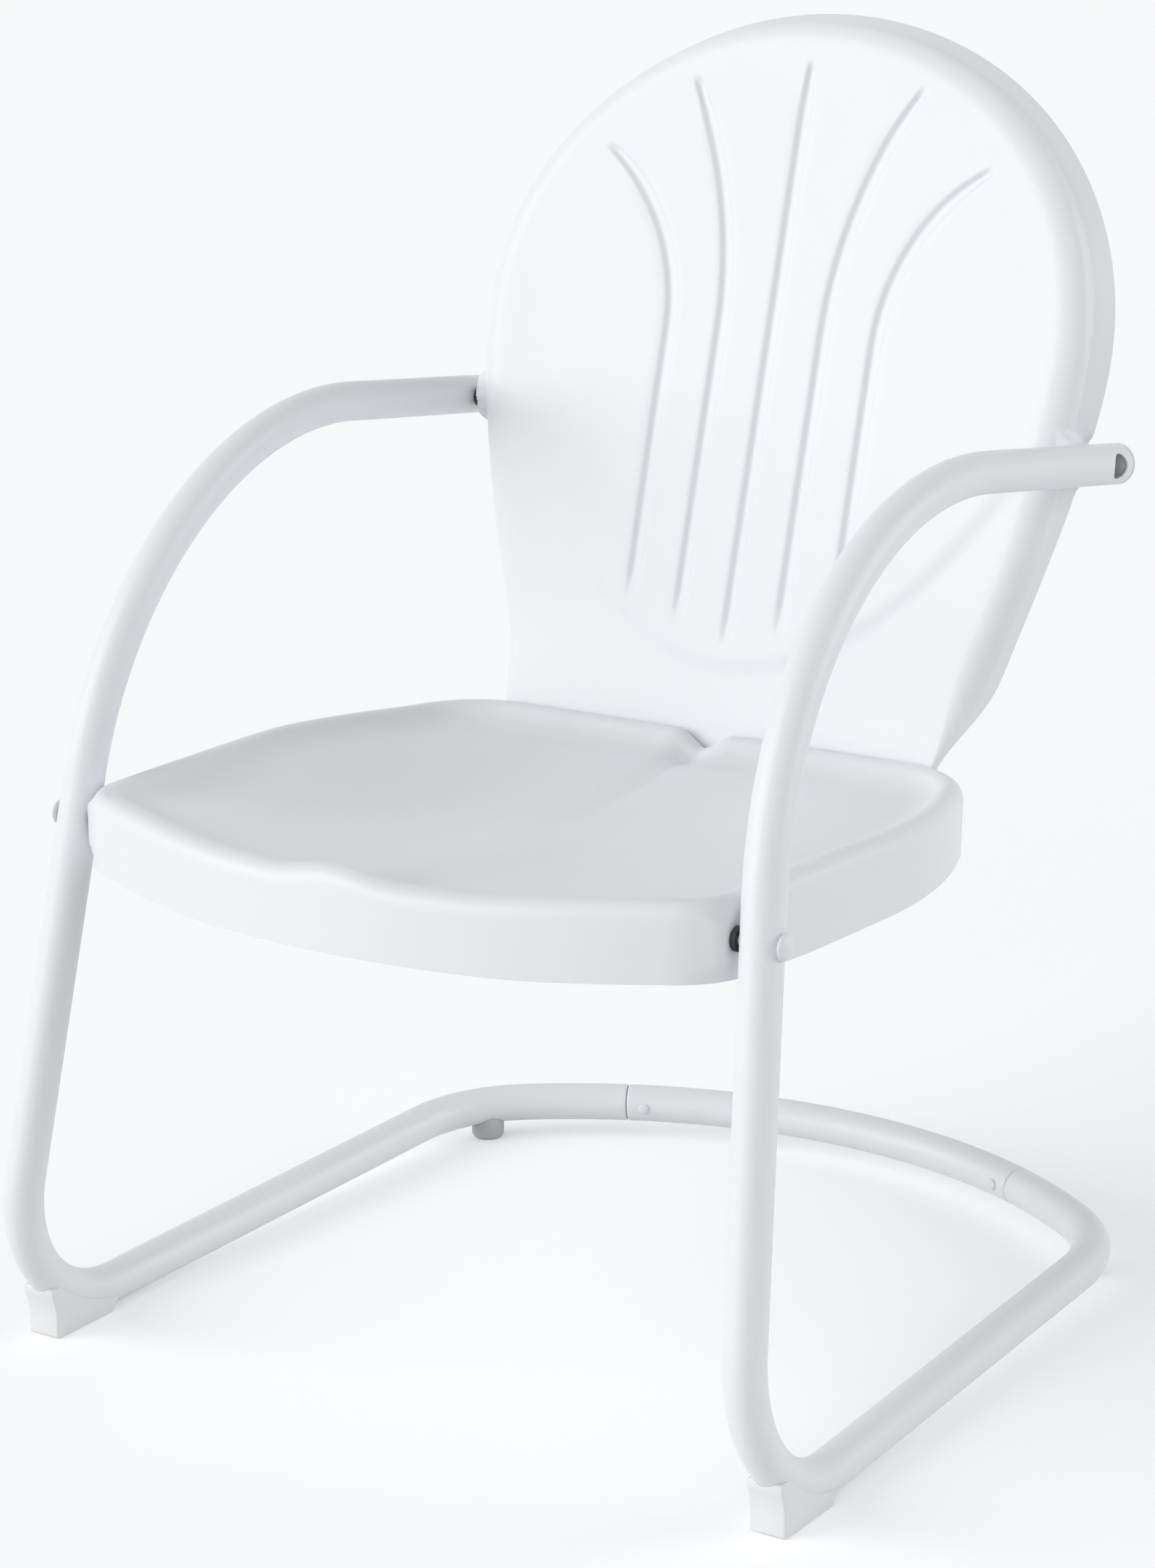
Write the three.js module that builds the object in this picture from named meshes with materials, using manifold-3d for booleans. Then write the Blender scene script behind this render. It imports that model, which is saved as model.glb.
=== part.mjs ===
// Retro spring lawn chair: a pressed steel seat and back on a bent steel tube frame.
// Millimetres, +Z up, +Y to the rear, +X to the sitter's left, floor at Z = 0.
// The chair is the same on both sides, so left pieces are made and the right ones mirrored.
import * as THREE from 'three';
import { mergeVertices } from 'three/addons/utils/BufferGeometryUtils.js';
import Module from 'manifold-3d';

const wasm = await Module();
wasm.setup();

// General fits.
const contactGap = 0.3;
const cutOverrun = 4;
const mergeTolerance = 0.001;
const searchSteps = 60;

// Frame tube.
const tubeDiameter = 28;
const tubeWall = 1.5;
const tubeSides = 14;
const boreSides = 8;
// How far a bend's facets may cut inside its true curve.
const curveTolerance = 0.75;

// Sheet metal.
const sheetGauge = 1.2;
const holeSides = 16;

// Seat shell, in plan. Its half width is the width that the whole chair follows.
const seatSideSpan = 261.9;
const seatSideRadius = 345;
const seatFrontRadius = 520;
const seatFrontSweep = THREE.MathUtils.degToRad(23);
const seatFrontCornerInset = 24.4;
const seatFrontCornerRadius = 62;
const seatRearCornerInset = 52.5;
const seatRearCornerRadius = 70;
const seatPlateDepth = 451.7;
const seatSideSetback = 131.9;

// Seat shell, heights and section.
const seatRimHeight = 388;
const seatFrontDrop = 8.5;
const seatFrontDropReach = 100;
const seatRearDrop = 6;
const seatRearDropReach = 90;
const skirtFrontDepth = 48;
const skirtRearDepth = 52.5;
const seatFrontRakeSlope = 0.12;
const beadRadius = 10.5;
const lipWidth = 30;
const lipDrop = 15;
const panInset = 47;
const panDepth = 25;
const thighHollowDepth = 9;
const valleyHalfWidth = 20;
const valleyDepth = 13;
const valleySetback = 188.7;
const pommelHalfWidth = 52;
const pommelHeight = 6;
const pommelReach = 90;

// Back shell, in its own leaning plane.
const recline = THREE.MathUtils.degToRad(16.5);
const backInset = 9.4;
const backPlateDrop = 18.3;
const backWaistHeight = 300;
const backCrownHeight = 226;
const backFootDrop = 33;
const backSideSlope = 0.345;
const backWaistEasing = 30;
const backShoulderAngle = THREE.MathUtils.degToRad(17);
const rollRadius = 19;
const flangeDepth = 32;
const footRollRadius = 3;
const footFlangeDepth = 4.5;
const flangeTaperTop = 75;
const flangeTaperFoot = 5;
const panelStep = 2;
const panelStepWidth = 14;
const scallopHeight = 50;
const scallopCurveRadius = 139;
const dishDepth = 8;
const dishHeight = 522;

// Flutes pressed into the back.
const fluteSpacing = 42.2;
const fluteHalfWidth = 6.5;
const fluteFloorHalfWidth = 3.5;
const fluteDepth = 2.8;
const innerFluteFoot = 80;
const innerFluteTop = 472;
const innerFluteBendStart = 295;
const innerFluteRadius = 330;
const outerFluteFoot = 95;
const outerFluteTop = 419;
const outerFluteBendStart = 290;
const outerFluteRadius = 150;
const middleFluteFoot = 66;
const middleFluteTop = 487;
const edgeRowFoot = 108;
const edgeRowTop = 332;

// Corners of the frame tube's centreline, before its bends are rounded. Spans stand off the
// seat and the back, rises start at the seat's rim, and depths at the front of the floor bend.
const legFloorOutset = 32.6;
const legFloorDepth = -22.9;
const legFloorHeight = 12.5;
const legArmInset = 13.9;
const legArmDepth = 104.7;
const legArmRise = 247.5;
const armSplayInset = 9;
const armSplayLead = 50.7;
const armSplayRise = 213.6;
const armEndClearance = 6.8;
const armEndSetback = 93.3;
const armEndRise = 195.2;
const runnerRearOutset = 18.2;
const runnerRearHeight = 25.5;

// Bend radii of the centreline, and the bow of the rear floor tube.
const armSplayRadius = 600;
const floorBendRadius = 92;
const rearBendRadius = 106.5;
const bowRadius = 395;
const bowHalfAngle = THREE.MathUtils.degToRad(37);
const bowRearDepth = 607.8;

// Seams between the side tubes and the rear tube, measured along the bow from its middle.
const seamDistance = 177.2;
const seamGap = 0.6;
const spigotLength = 45;
const spigotWall = 1.4;

// Bolts, spacers and nuts.
const boltDiameter = 8;
const boltClearance = 0.3;
const boltHeadDiameter = 17.5;
const boltHeadRise = 4.5;
const boltEndProud = 2;
const nutAcrossCorners = 15;
const nutThickness = 6.5;
const nutSides = 6;
const spacerDiameter = 16;
const padRadius = 11.5;
const padBlend = 8;
const padReach = 9;
const padSeatGap = 0.7;
const seatBoltDrop = 19;
const seatBoltSetback = 27.2;
const seatPadClearance = 12.4;
const armBoltInset = 17.5;
const armPadInset = 8.7;
const armAccessDiameter = 17;
const armHeadDiameter = 13;
const armHeadHeight = 5;
const backBoltInnerSpan = 45;
const backBoltOuterSpan = 125;
const backBoltDrop = 15;
const backBoltHeadDiameter = 14;
const backBoltHeadRise = 3.5;
const seamScrewDiameter = 5;
const seamScrewHeadDiameter = 8.5;
const seamScrewHeadRise = 1.6;
const seamScrewInset = 14;
const seamScrewLength = 7;

// Plastic plug, and the shoe in side view with depths from the front of the floor bend.
const plugFlangeThickness = 1.8;
const plugDomeRise = 1.2;
const plugStemLength = 8;
const footWidth = 27;
const footFrontDepth = 18.6;
const footEdgeRound = 2;
const footHollowDepth = 19.2;
const footHollowHeight = 18;
const footNeckDepth = 17.8;
const footNeckHeight = 27;
const footCollarDepth = 15.4;
const footCollarHeight = 31.5;
const footTopHeight = 39;
const footCollarWall = 2.2;
const footToeDepth = 76.6;
const footTailReach = 6;
const footTailRise = 7;
const footPegDiameter = 8;
const footPegReach = 8;

// Round glide under the rear corner.
const glideDiameter = 25;
const glideFootDiameter = 21;
const glideFootRise = 3;
const glideStemDiameter = 8;
const glideStemReach = 8;

// Shares chosen by eye: where rows and columns of the pressings lie between their guides.
const pressRowShares = [0, 0.3, 0.6, 0.8, 0.9, 1];
const fluteLowRowShares = [0, 0.035, 0.12, 0.24, 0.36];
const fluteHighRowShares = [0.66, 0.76, 0.86, 0.965, 1];
const crownRowShares = [0.5, 1];
const edgeColumnShares = [0.28, 0.56, 0.8];
const seatRearColumnShares = [0, 0.05, 0.1, 0.24, 0.38, 0.53, 0.68, 0.84, 1];
const seatFrontColumnShares = [0, 0.1, 0.2, 0.31, 0.44, 0.58, 0.72, 0.86, 1];
const seatSideRowCount = 9;
const beadTurnShares = [0.75, 0.5, 0.25, 0];
const skirtRowShares = [0.25, 0.5, 1];
const ridgeWidthShare = 0.16;
const ridgeDepthShare = 0.75;
const valleyPanShare = 0.35;
const flangeTurnShares = [0.3, 0.62, 1];
// How much of the stretch between its corners the arm's bend takes.
const armBendShare = 0.925;
const footTopShares = [0.58, 0.7, 0.8, 0.9, 1];
// Where the shoe's peg and the glide's stem stand along their bends.
const footPegShare = 0.705;
const glideShare = 0.682;
// How far the back's edge lies behind the middle, as shares of the dish, up the back.
const dishHeightShares = [-0.1, 0, 0.03, 0.115, 0.23, 0.345, 0.46, 0.69, 0.805, 0.862, 0.92, 1.1];
const dishDepthShares = [0, 0, 0, 0.85, 0.25, -0.37, -1, -1.05, -0.75, -0.37, 0, 0];

// Colours.
const paint = { color: 0xf1f2f3, roughness: 0.32, metalness: 0 };
const footPlastic = { color: 0xeae8e4, roughness: 0.55, metalness: 0 };
const glidePlastic = { color: 0xc9cacb, roughness: 0.5, metalness: 0 };
const zincSteel = { color: 0xb9bcbf, roughness: 0.38, metalness: 1 };

// Values worked out from the ones above.
const tubeRadius = tubeDiameter / 2;
const boreRadius = tubeRadius - tubeWall;
const boreApothem = boreRadius * Math.cos(Math.PI / boreSides);
const boltRadius = boltDiameter / 2;
const plugFlangeRadius = tubeRadius;
const boltHoleRadius = boltRadius + boltClearance;
const smooth = THREE.MathUtils.smoothstep;
const lerp = THREE.MathUtils.lerp;
const X = new THREE.Vector3(1, 0, 0);
const Y = new THREE.Vector3(0, 1, 0);
const Z = new THREE.Vector3(0, 0, 1);
const toDown = Z.clone().negate();
const inwards = X.clone().negate();

// A line through corner points, with an arc of its own radius in place of each corner.
class BentLine {
  constructor(corners, radii) {
    this.pieces = [];
    this.length = 0;
    let from = corners[0];
    radii.forEach((radius, i) => {
      const ahead = corners[i + 1].clone().sub(corners[i]).normalize();
      const onward = corners[i + 2].clone().sub(corners[i + 1]).normalize();
      const turn = ahead.angleTo(onward);
      const reach = radius * Math.tan(turn / 2);
      const bendStart = corners[i + 1].clone().addScaledVector(ahead, -reach);
      this.addStraight(from, bendStart);
      this.addBend(bendStart, ahead, onward, radius, turn);
      from = corners[i + 1].clone().addScaledVector(onward, reach);
    });
    this.addStraight(from, corners.at(-1));
  }

  addStraight(from, to) {
    const ahead = to.clone().sub(from).normalize();
    const locate = (d) => ({ point: from.clone().addScaledVector(ahead, d), ahead });
    this.addPiece(from.distanceTo(to), 1, locate);
  }

  addBend(from, ahead, onward, radius, turn) {
    const inner = onward.clone().addScaledVector(ahead, -Math.cos(turn)).normalize();
    const locate = (d) => {
      const a = d / radius;
      const point = from.clone().addScaledVector(ahead, radius * Math.sin(a));
      point.addScaledVector(inner, radius * (1 - Math.cos(a)));
      const heading = ahead.clone().multiplyScalar(Math.cos(a)).addScaledVector(inner, Math.sin(a));
      return { point, ahead: heading };
    };
    const longestStep = Math.sqrt(8 * radius * curveTolerance);
    this.addPiece(radius * turn, Math.ceil((radius * turn) / longestStep), locate);
  }

  addPiece(length, steps, locate) {
    this.pieces.push({ start: this.length, length, steps, locate });
    this.length += length;
  }

  at(distance) {
    const found = this.pieces.find((piece) => distance <= piece.start + piece.length);
    const piece = found ?? this.pieces.at(-1);
    return piece.locate(distance - piece.start);
  }

  // Distances of the stations between two ends, with any extra marks.
  stations(from, to, marks = []) {
    const all = [from, to, ...marks];
    for (const { start, length, steps } of this.pieces) {
      for (let i = 0; i <= steps; i += 1) all.push(start + (length * i) / steps);
    }
    const inside = all.filter((d) => d >= from && d <= to).sort((a, b) => a - b);
    return inside.filter((d, i) => i === 0 || d - inside[i - 1] > contactGap);
  }

  // The distance at which one coordinate passes a value, looked for between two distances.
  distanceWhere(axis, value, from, to) {
    const rising = this.at(to).point[axis] > this.at(from).point[axis];
    let low = from;
    let high = to;
    for (let i = 0; i < searchSteps; i += 1) {
      const middle = (low + high) / 2;
      if (this.at(middle).point[axis] < value === rising) low = middle;
      else high = middle;
    }
    return low;
  }
}

// The stations of a bent line as a curve, for a section that is swept along it.
class StationCurve extends THREE.Curve {
  constructor(line, distances) {
    super();
    this.spots = distances.map((d) => line.at(d));
  }

  spot(u) {
    return this.spots[Math.round(u * (this.spots.length - 1))];
  }

  getPointAt(u, target = new THREE.Vector3()) {
    return target.copy(this.spot(u).point);
  }

  getTangentAt(u, target = new THREE.Vector3()) {
    return target.copy(this.spot(u).ahead);
  }
}

// Solids.
function toSolid(geometry) {
  const bare = geometry.clone();
  bare.deleteAttribute('normal');
  bare.deleteAttribute('uv');
  const merged = mergeVertices(bare, mergeTolerance);
  const vertProperties = new Float32Array(merged.attributes.position.array);
  const triVerts = new Uint32Array(merged.index.array);
  return new wasm.Manifold(new wasm.Mesh({ numProp: 3, vertProperties, triVerts }));
}

function toGeometry(solid) {
  const mesh = solid.getMesh();
  const geometry = new THREE.BufferGeometry();
  geometry.setAttribute('position', new THREE.BufferAttribute(mesh.vertProperties, 3));
  geometry.setIndex(new THREE.BufferAttribute(mesh.triVerts, 1));
  geometry.computeVertexNormals();
  return geometry;
}

function mirrored(geometry) {
  const copy = geometry.clone().scale(-1, 1, 1);
  const index = copy.index.array;
  for (let i = 0; i < index.length; i += 3) {
    [index[i], index[i + 1]] = [index[i + 1], index[i]];
  }
  copy.computeVertexNormals();
  return copy;
}

function polygon(radius, sides) {
  const corner = (_, i) => {
    const a = (2 * Math.PI * i) / sides;
    return new THREE.Vector2(radius * Math.cos(a), radius * Math.sin(a));
  };
  return new THREE.Shape(Array.from({ length: sides }, corner));
}

function sweep(line, distances, radius, sides) {
  const extrudePath = new StationCurve(line, distances);
  const steps = distances.length - 1;
  return toSolid(new THREE.ExtrudeGeometry(polygon(radius, sides), { steps, extrudePath }));
}

// Turns a shape made along Y so that it starts at a point and runs along a direction.
function placeAlong(geometry, start, direction) {
  const turn = new THREE.Quaternion().setFromUnitVectors(Y, direction.clone().normalize());
  return geometry.applyQuaternion(turn).translate(start.x, start.y, start.z);
}

function rod(start, direction, length, radius, sides = holeSides) {
  const geometry = new THREE.CylinderGeometry(radius, radius, length, sides);
  return toSolid(placeAlong(geometry.translate(0, length / 2, 0), start, direction));
}

// A turned piece: its profile lists radius and distance along the direction.
function turned(start, direction, profile, sides = holeSides) {
  const points = profile.map(([radius, along]) => new THREE.Vector2(radius, along));
  return toSolid(placeAlong(new THREE.LatheGeometry(points, sides), start, direction));
}

function offset(point, direction, distance) {
  return point.clone().addScaledVector(direction, distance);
}

// Sheet metal.
// Gives a surface its gauge on the side away from its normals and closes its edges.
function thicken(points, triangles, gauge) {
  const normals = points.map(() => new THREE.Vector3());
  const edges = new Map();
  for (const [a, b, c] of triangles) {
    const face = new THREE.Triangle(points[a], points[b], points[c]);
    const normal = face.getNormal(new THREE.Vector3());
    const sides = [[a, b, c], [b, c, a], [c, a, b]];
    for (const [p, q, r] of sides) {
      const toNext = points[q].clone().sub(points[p]);
      normals[p].addScaledVector(normal, toNext.angleTo(points[r].clone().sub(points[p])));
      edges.set(`${p},${q}`, [p, q]);
    }
  }
  const count = points.length;
  const inner = points.map((p, i) => offset(p, normals[i].normalize(), -gauge));
  const faces = [...triangles];
  for (const [a, b, c] of triangles) faces.push([a + count, c + count, b + count]);
  for (const [p, q] of edges.values()) {
    if (edges.has(`${q},${p}`)) continue;
    faces.push([q, p, p + count], [q, p + count, q + count]);
  }
  const geometry = new THREE.BufferGeometry().setFromPoints([...points, ...inner]);
  geometry.setIndex(faces.flat());
  return toSolid(geometry);
}

// Triangles of a grid of rows, each row a list of point numbers.
function stitch(rows) {
  const triangles = [];
  for (let j = 1; j < rows.length; j += 1) {
    for (let i = 1; i < rows[j].length; i += 1) {
      const [a, b] = [rows[j - 1][i - 1], rows[j - 1][i]];
      const [c, d] = [rows[j][i - 1], rows[j][i]];
      triangles.push([a, b, d], [a, d, c]);
    }
  }
  return triangles;
}

// Frame. The leg is drawn first, then the seat's bolt on it, and the seat and back from there.
const toRight = (p) => new THREE.Vector3(-p.x, p.y, p.z);
const legFloor = new THREE.Vector3(seatSideSpan + legFloorOutset, legFloorDepth, legFloorHeight);
const legArm = new THREE.Vector3(seatSideSpan - legArmInset, legArmDepth, seatRimHeight + legArmRise);
const seatBoltHeight = seatRimHeight - seatBoltDrop;
const seatBoltLift = (seatBoltHeight - legFloor.z) / (legArm.z - legFloor.z);
const seatBoltPoint = legFloor.clone().lerp(legArm, seatBoltLift);
const seatPadSpan = seatBoltPoint.x - tubeRadius - seatPadClearance;
// The seat's front corner lies a little before the bolt, and its front edge before the corner.
const seatFrontCornerSpan = seatSideSpan - seatFrontCornerInset;
const seatCornerDepth = seatBoltPoint.y - seatBoltSetback;
const seatApexDepth = seatCornerDepth - seatFrontCornerSpan * Math.tan(seatFrontSweep);
const seatFrontDepth = seatApexDepth - seatFrontRadius + seatFrontRadius / Math.cos(seatFrontSweep);
const backPlateDepth = seatFrontDepth + seatPlateDepth;
const backPlateHeight = seatRimHeight - backPlateDrop;
const backHalfWidth = seatSideSpan - backInset;
const armPadSpan = backHalfWidth - armPadInset;
const armEndSpan = armPadSpan + tubeRadius + armEndClearance;

const armEnd = new THREE.Vector3(
  armEndSpan, backPlateDepth + armEndSetback, seatRimHeight + armEndRise,
);
const armSplay = new THREE.Vector3(
  armEndSpan - armSplayInset, backPlateDepth - armSplayLead, seatRimHeight + armSplayRise,
);
const bowApexDepth = bowRearDepth + bowRadius / Math.cos(bowHalfAngle) - bowRadius;
const runnerRearSpan = seatSideSpan + runnerRearOutset;
const runnerRearDepth = bowApexDepth - runnerRearSpan * Math.tan(bowHalfAngle);
const runnerRear = new THREE.Vector3(runnerRearSpan, runnerRearDepth, runnerRearHeight);
const bowApex = new THREE.Vector3(0, bowApexDepth, runnerRearHeight);

// The radius of a bend that takes a given reach before its corner.
function radiusForReach(before, corner, after, reach) {
  const turn = corner.clone().sub(before).angleTo(after.clone().sub(corner));
  return reach / Math.tan(turn / 2);
}

const armBendReach = armBendShare * armSplay.distanceTo(legArm);
const armBendRadius = radiusForReach(armSplay, legArm, legFloor, armBendReach);
const frameLine = new BentLine(
  [armEnd, armSplay, legArm, legFloor, runnerRear, bowApex, toRight(runnerRear), toRight(legFloor)],
  [armSplayRadius, armBendRadius, floorBendRadius, rearBendRadius, bowRadius, rearBendRadius],
);
const bowPiece = frameLine.pieces[9];
const bowMiddle = bowPiece.start + bowPiece.length / 2;
const legPiece = frameLine.pieces[4];
const floorBendPiece = frameLine.pieces[5];
const runnerPiece = frameLine.pieces[6];
const rearCornerPiece = frameLine.pieces[7];
const leftSeam = bowMiddle - seamDistance;
const spigotMarks = [leftSeam, leftSeam - spigotLength];

const legAhead = frameLine.at(legPiece.start).ahead;
const seatBoltSpot = { point: seatBoltPoint, ahead: legAhead };
const armBoltSpot = frameLine.at(armBoltInset);
const armBoltPoint = armBoltSpot.point;
const glidePoint = frameLine.at(rearCornerPiece.start + rearCornerPiece.length * glideShare).point;
const inFloorBend = (share) => frameLine.at(floorBendPiece.start + floorBendPiece.length * share);
const footPegSpot = inFloorBend(footPegShare);
// Away from the bend's centre, square to the tube.
const footPegDown = new THREE.Vector3(0, footPegSpot.ahead.z, -footPegSpot.ahead.y).normalize();
const footPegAxis = footPegDown.multiplyScalar(-Math.sign(footPegDown.z));
const seamScrewSpot = frameLine.at(leftSeam + seamGap + seamScrewInset);
const seamScrewAxis = new THREE.Vector3(-seamScrewSpot.ahead.y, seamScrewSpot.ahead.x, 0).normalize();

function sideTube() {
  const distances = frameLine.stations(0, leftSeam, spigotMarks);
  const boreEnds = [-cutOverrun, ...distances.slice(1, -1), leftSeam + cutOverrun];
  const bore = sweep(frameLine, boreEnds, boreRadius, boreSides);
  const acrossTube = tubeDiameter + 2 * cutOverrun;
  const seatHole = rod(offset(seatBoltPoint, X, -acrossTube / 2), X, acrossTube, boltHoleRadius);
  const armHole = rod(offset(armBoltPoint, X, -acrossTube / 2), X, acrossTube / 2, boltHoleRadius);
  const access = rod(armBoltPoint, X, acrossTube / 2, armAccessDiameter / 2);
  const glideHole = rod(glidePoint, toDown, acrossTube / 2, glideStemDiameter / 2 + contactGap);
  const pegHole = rod(footPegSpot.point, footPegAxis, acrossTube / 2, footPegDiameter / 2 + contactGap);
  let tube = sweep(frameLine, distances, tubeRadius, tubeSides).subtract(bore);
  for (const cut of [seatHole, armHole, access, glideHole, pegHole]) tube = tube.subtract(cut);
  return toGeometry(tube);
}

function rearTube() {
  const rightSeam = bowMiddle + seamDistance;
  const spigotRadius = boreApothem - contactGap;
  const bodyStations = frameLine.stations(leftSeam + seamGap, rightSeam - seamGap);
  const spigotStations = frameLine.stations(
    leftSeam - spigotLength, rightSeam + spigotLength, [leftSeam, rightSeam],
  );
  const boreEnds = [
    leftSeam - spigotLength - cutOverrun, ...spigotStations.slice(1, -1),
    rightSeam + spigotLength + cutOverrun,
  ];
  const body = sweep(frameLine, bodyStations, tubeRadius, tubeSides);
  const spigot = sweep(frameLine, spigotStations, spigotRadius, boreSides);
  const bore = sweep(frameLine, boreEnds, spigotRadius - spigotWall, boreSides);
  const holeDepth = tubeRadius + cutOverrun;
  const hole = rod(seamScrewSpot.point, seamScrewAxis, holeDepth, seamScrewDiameter / 2 + contactGap);
  const otherHole = toSolid(mirrored(toGeometry(hole)));
  return toGeometry(body.add(spigot).subtract(bore).subtract(hole).subtract(otherHole));
}

function seamScrew() {
  const headRadius = seamScrewHeadDiameter / 2;
  const shankRadius = seamScrewDiameter / 2;
  const seat = tubeRadius + contactGap + curveTolerance;
  return toGeometry(turned(seamScrewSpot.point, seamScrewAxis, [
    [0, seat - seamScrewLength], [shankRadius, seat - seamScrewLength], [shankRadius, seat],
    [headRadius, seat], [headRadius * Math.SQRT1_2, seat + seamScrewHeadRise * Math.SQRT1_2],
    [0, seat + seamScrewHeadRise],
  ]));
}

// Plastic pieces.
function armPlug() {
  const back = frameLine.at(0).ahead.clone().negate();
  const flange = plugFlangeRadius;
  const stem = boreApothem - contactGap;
  return toGeometry(turned(armEnd, back, [
    [0, -plugStemLength], [stem, -plugStemLength], [stem, contactGap], [flange, contactGap],
    [flange, contactGap + plugFlangeThickness],
    [flange * Math.SQRT1_2, contactGap + plugFlangeThickness + plugDomeRise * Math.SQRT1_2],
    [0, contactGap + plugFlangeThickness + plugDomeRise],
  ]));
}

// The shoe's side view: front face with its hollow and collar, the tube above, then the tail.
const onBend = (share) => new THREE.Vector2(inFloorBend(share).point.y, inFloorBend(share).point.z);
const bendSteps = Array.from({ length: searchSteps }, (_, i) => onBend(i / searchSteps).x);
const bendFront = Math.min(...bendSteps);
const footSpot = (depth, height) => new THREE.Vector2(bendFront + depth, height);

function footOutline() {
  return [
    footSpot(footFrontDepth + footEdgeRound, 0),
    footSpot(footFrontDepth, footEdgeRound),
    footSpot(footHollowDepth, footHollowHeight),
    footSpot(footNeckDepth, footNeckHeight),
    footSpot(footCollarDepth, footCollarHeight),
    footSpot(footCollarDepth, footTopHeight),
    ...footTopShares.map(onBend),
    footSpot(footToeDepth + footTailReach, footTailRise),
    footSpot(footToeDepth, 0),
  ];
}

// The part of the bend that the shoe's collar wraps.
function collarOutline() {
  const [start, end] = footTopShares.map(onBend);
  return [
    footSpot(0, footHollowHeight), footSpot(0, footTopHeight), start, end,
    new THREE.Vector2(end.x, footHollowHeight),
  ];
}

// A slab as wide as the shoe, cut to an outline in side view.
function footSlab(outline) {
  const shape = new THREE.Shape(outline);
  const slab = new THREE.ExtrudeGeometry(shape, { depth: footWidth, bevelEnabled: false });
  slab.translate(0, 0, -footWidth / 2);
  slab.applyMatrix4(new THREE.Matrix4().makeBasis(Y, Z, X));
  return toSolid(slab.translate(footPegSpot.point.x, 0, 0));
}

// A wedge with a collar round the floor bend: its top is the tube's own shape.
function frontFoot() {
  const distances = frameLine.stations(legPiece.start, runnerPiece.start + runnerPiece.length);
  const tube = sweep(frameLine, distances, tubeRadius + contactGap, tubeSides);
  const sleeve = sweep(frameLine, distances, tubeRadius + footCollarWall, tubeSides);
  const collar = sleeve.intersect(footSlab(collarOutline()));
  const pegStart = boreRadius - footPegReach;
  const pegLength = tubeRadius + cutOverrun - pegStart;
  const pegFoot = offset(footPegSpot.point, footPegAxis, pegStart);
  const peg = rod(pegFoot, footPegAxis, pegLength, footPegDiameter / 2);
  return toGeometry(footSlab(footOutline()).add(collar).subtract(tube).add(peg));
}

function rearGlide() {
  const rim = glideDiameter / 2;
  const stem = glideStemDiameter / 2;
  const top = glidePoint.z - boreRadius + glideStemReach;
  const shoulder = glidePoint.z - tubeRadius / 2;
  const floor = new THREE.Vector3(glidePoint.x, glidePoint.y, 0);
  const button = turned(floor, Z, [
    [0, 0], [glideFootDiameter / 2, 0], [rim, glideFootRise], [rim, shoulder], [0, shoulder],
  ]);
  const distances = frameLine.stations(runnerPiece.start, leftSeam);
  const tube = sweep(frameLine, distances, tubeRadius + contactGap, tubeSides);
  const pin = rod(offset(floor, Z, glideFootRise), Z, top - glideFootRise, stem);
  return toGeometry(button.subtract(tube).add(pin));
}

// Seat shell.
const seatSideDepth = backPlateDepth - seatSideSetback;
const seatRearCornerSpan = seatSideSpan - seatRearCornerInset;
const valleyStartDepth = backPlateDepth - valleySetback;
const rimReferenceHeight = seatRimHeight - seatRearDrop - beadRadius;
// The back plate's front face at a height, and the seat's rear skirt just before it.
const plateDepthAt = (z) => backPlateDepth + Math.tan(recline) * (z - backPlateHeight);
const seatRearDepth = plateDepthAt(rimReferenceHeight) - contactGap / Math.cos(recline);
const plan = (x, y) => new THREE.Vector3(x, y, 0);
const seatHalfCorners = [
  plan(seatRearCornerSpan, seatRearDepth), plan(seatSideSpan, seatSideDepth),
  plan(seatFrontCornerSpan, seatCornerDepth),
];
const seatHalfRadii = [seatRearCornerRadius, seatSideRadius, seatFrontCornerRadius];
const seatLine = new BentLine(
  [plan(0, seatRearDepth), ...seatHalfCorners, plan(0, seatApexDepth),
    toRight(seatHalfCorners[2])],
  [...seatHalfRadii, seatFrontRadius],
);
const middleOf = (piece) => piece.start + piece.length / 2;
const seatRearCornerDistance = middleOf(seatLine.pieces[1]);
const seatFrontCornerDistance = middleOf(seatLine.pieces[5]);
const seatFrontMiddle = middleOf(seatLine.pieces[7]);
const seatAlong = (depth) => seatLine.distanceWhere(
  'y', depth, seatRearCornerDistance, seatFrontMiddle,
);
const seatBoltAlong = seatAlong(seatBoltPoint.y);
const padRearAlong = seatAlong(seatBoltPoint.y + padRadius);
const padFrontAlong = seatAlong(seatBoltPoint.y - padRadius);

// How near a point is to the front or the rear of the seat, from 0 to 1.
const nearFront = (y) => 1 - smooth(y, seatFrontDepth, seatFrontDepth + seatFrontDropReach);
const nearRear = (y) => smooth(y, seatRearDepth - seatRearDropReach, seatRearDepth);

function rimHeight(x, y) {
  const ends = seatFrontDrop * nearFront(y) + seatRearDrop * nearRear(y);
  const pommel = 1 - smooth(Math.abs(x), 0, pommelHalfWidth);
  const pommelFade = 1 - smooth(y, seatFrontDepth, seatFrontDepth + pommelReach);
  return seatRimHeight - ends + pommelHeight * pommel * pommelFade;
}

function valley(x, y) {
  const across = Math.max(0, 1 - Math.abs(x) / valleyHalfWidth);
  return valleyDepth * across * smooth(y, valleyStartDepth, seatRearDepth);
}

function skirtBottom(y) {
  const share = (y - seatFrontDepth) / (seatRearDepth - seatFrontDepth);
  return seatRimHeight - lerp(skirtFrontDepth, skirtRearDepth, share);
}

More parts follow.
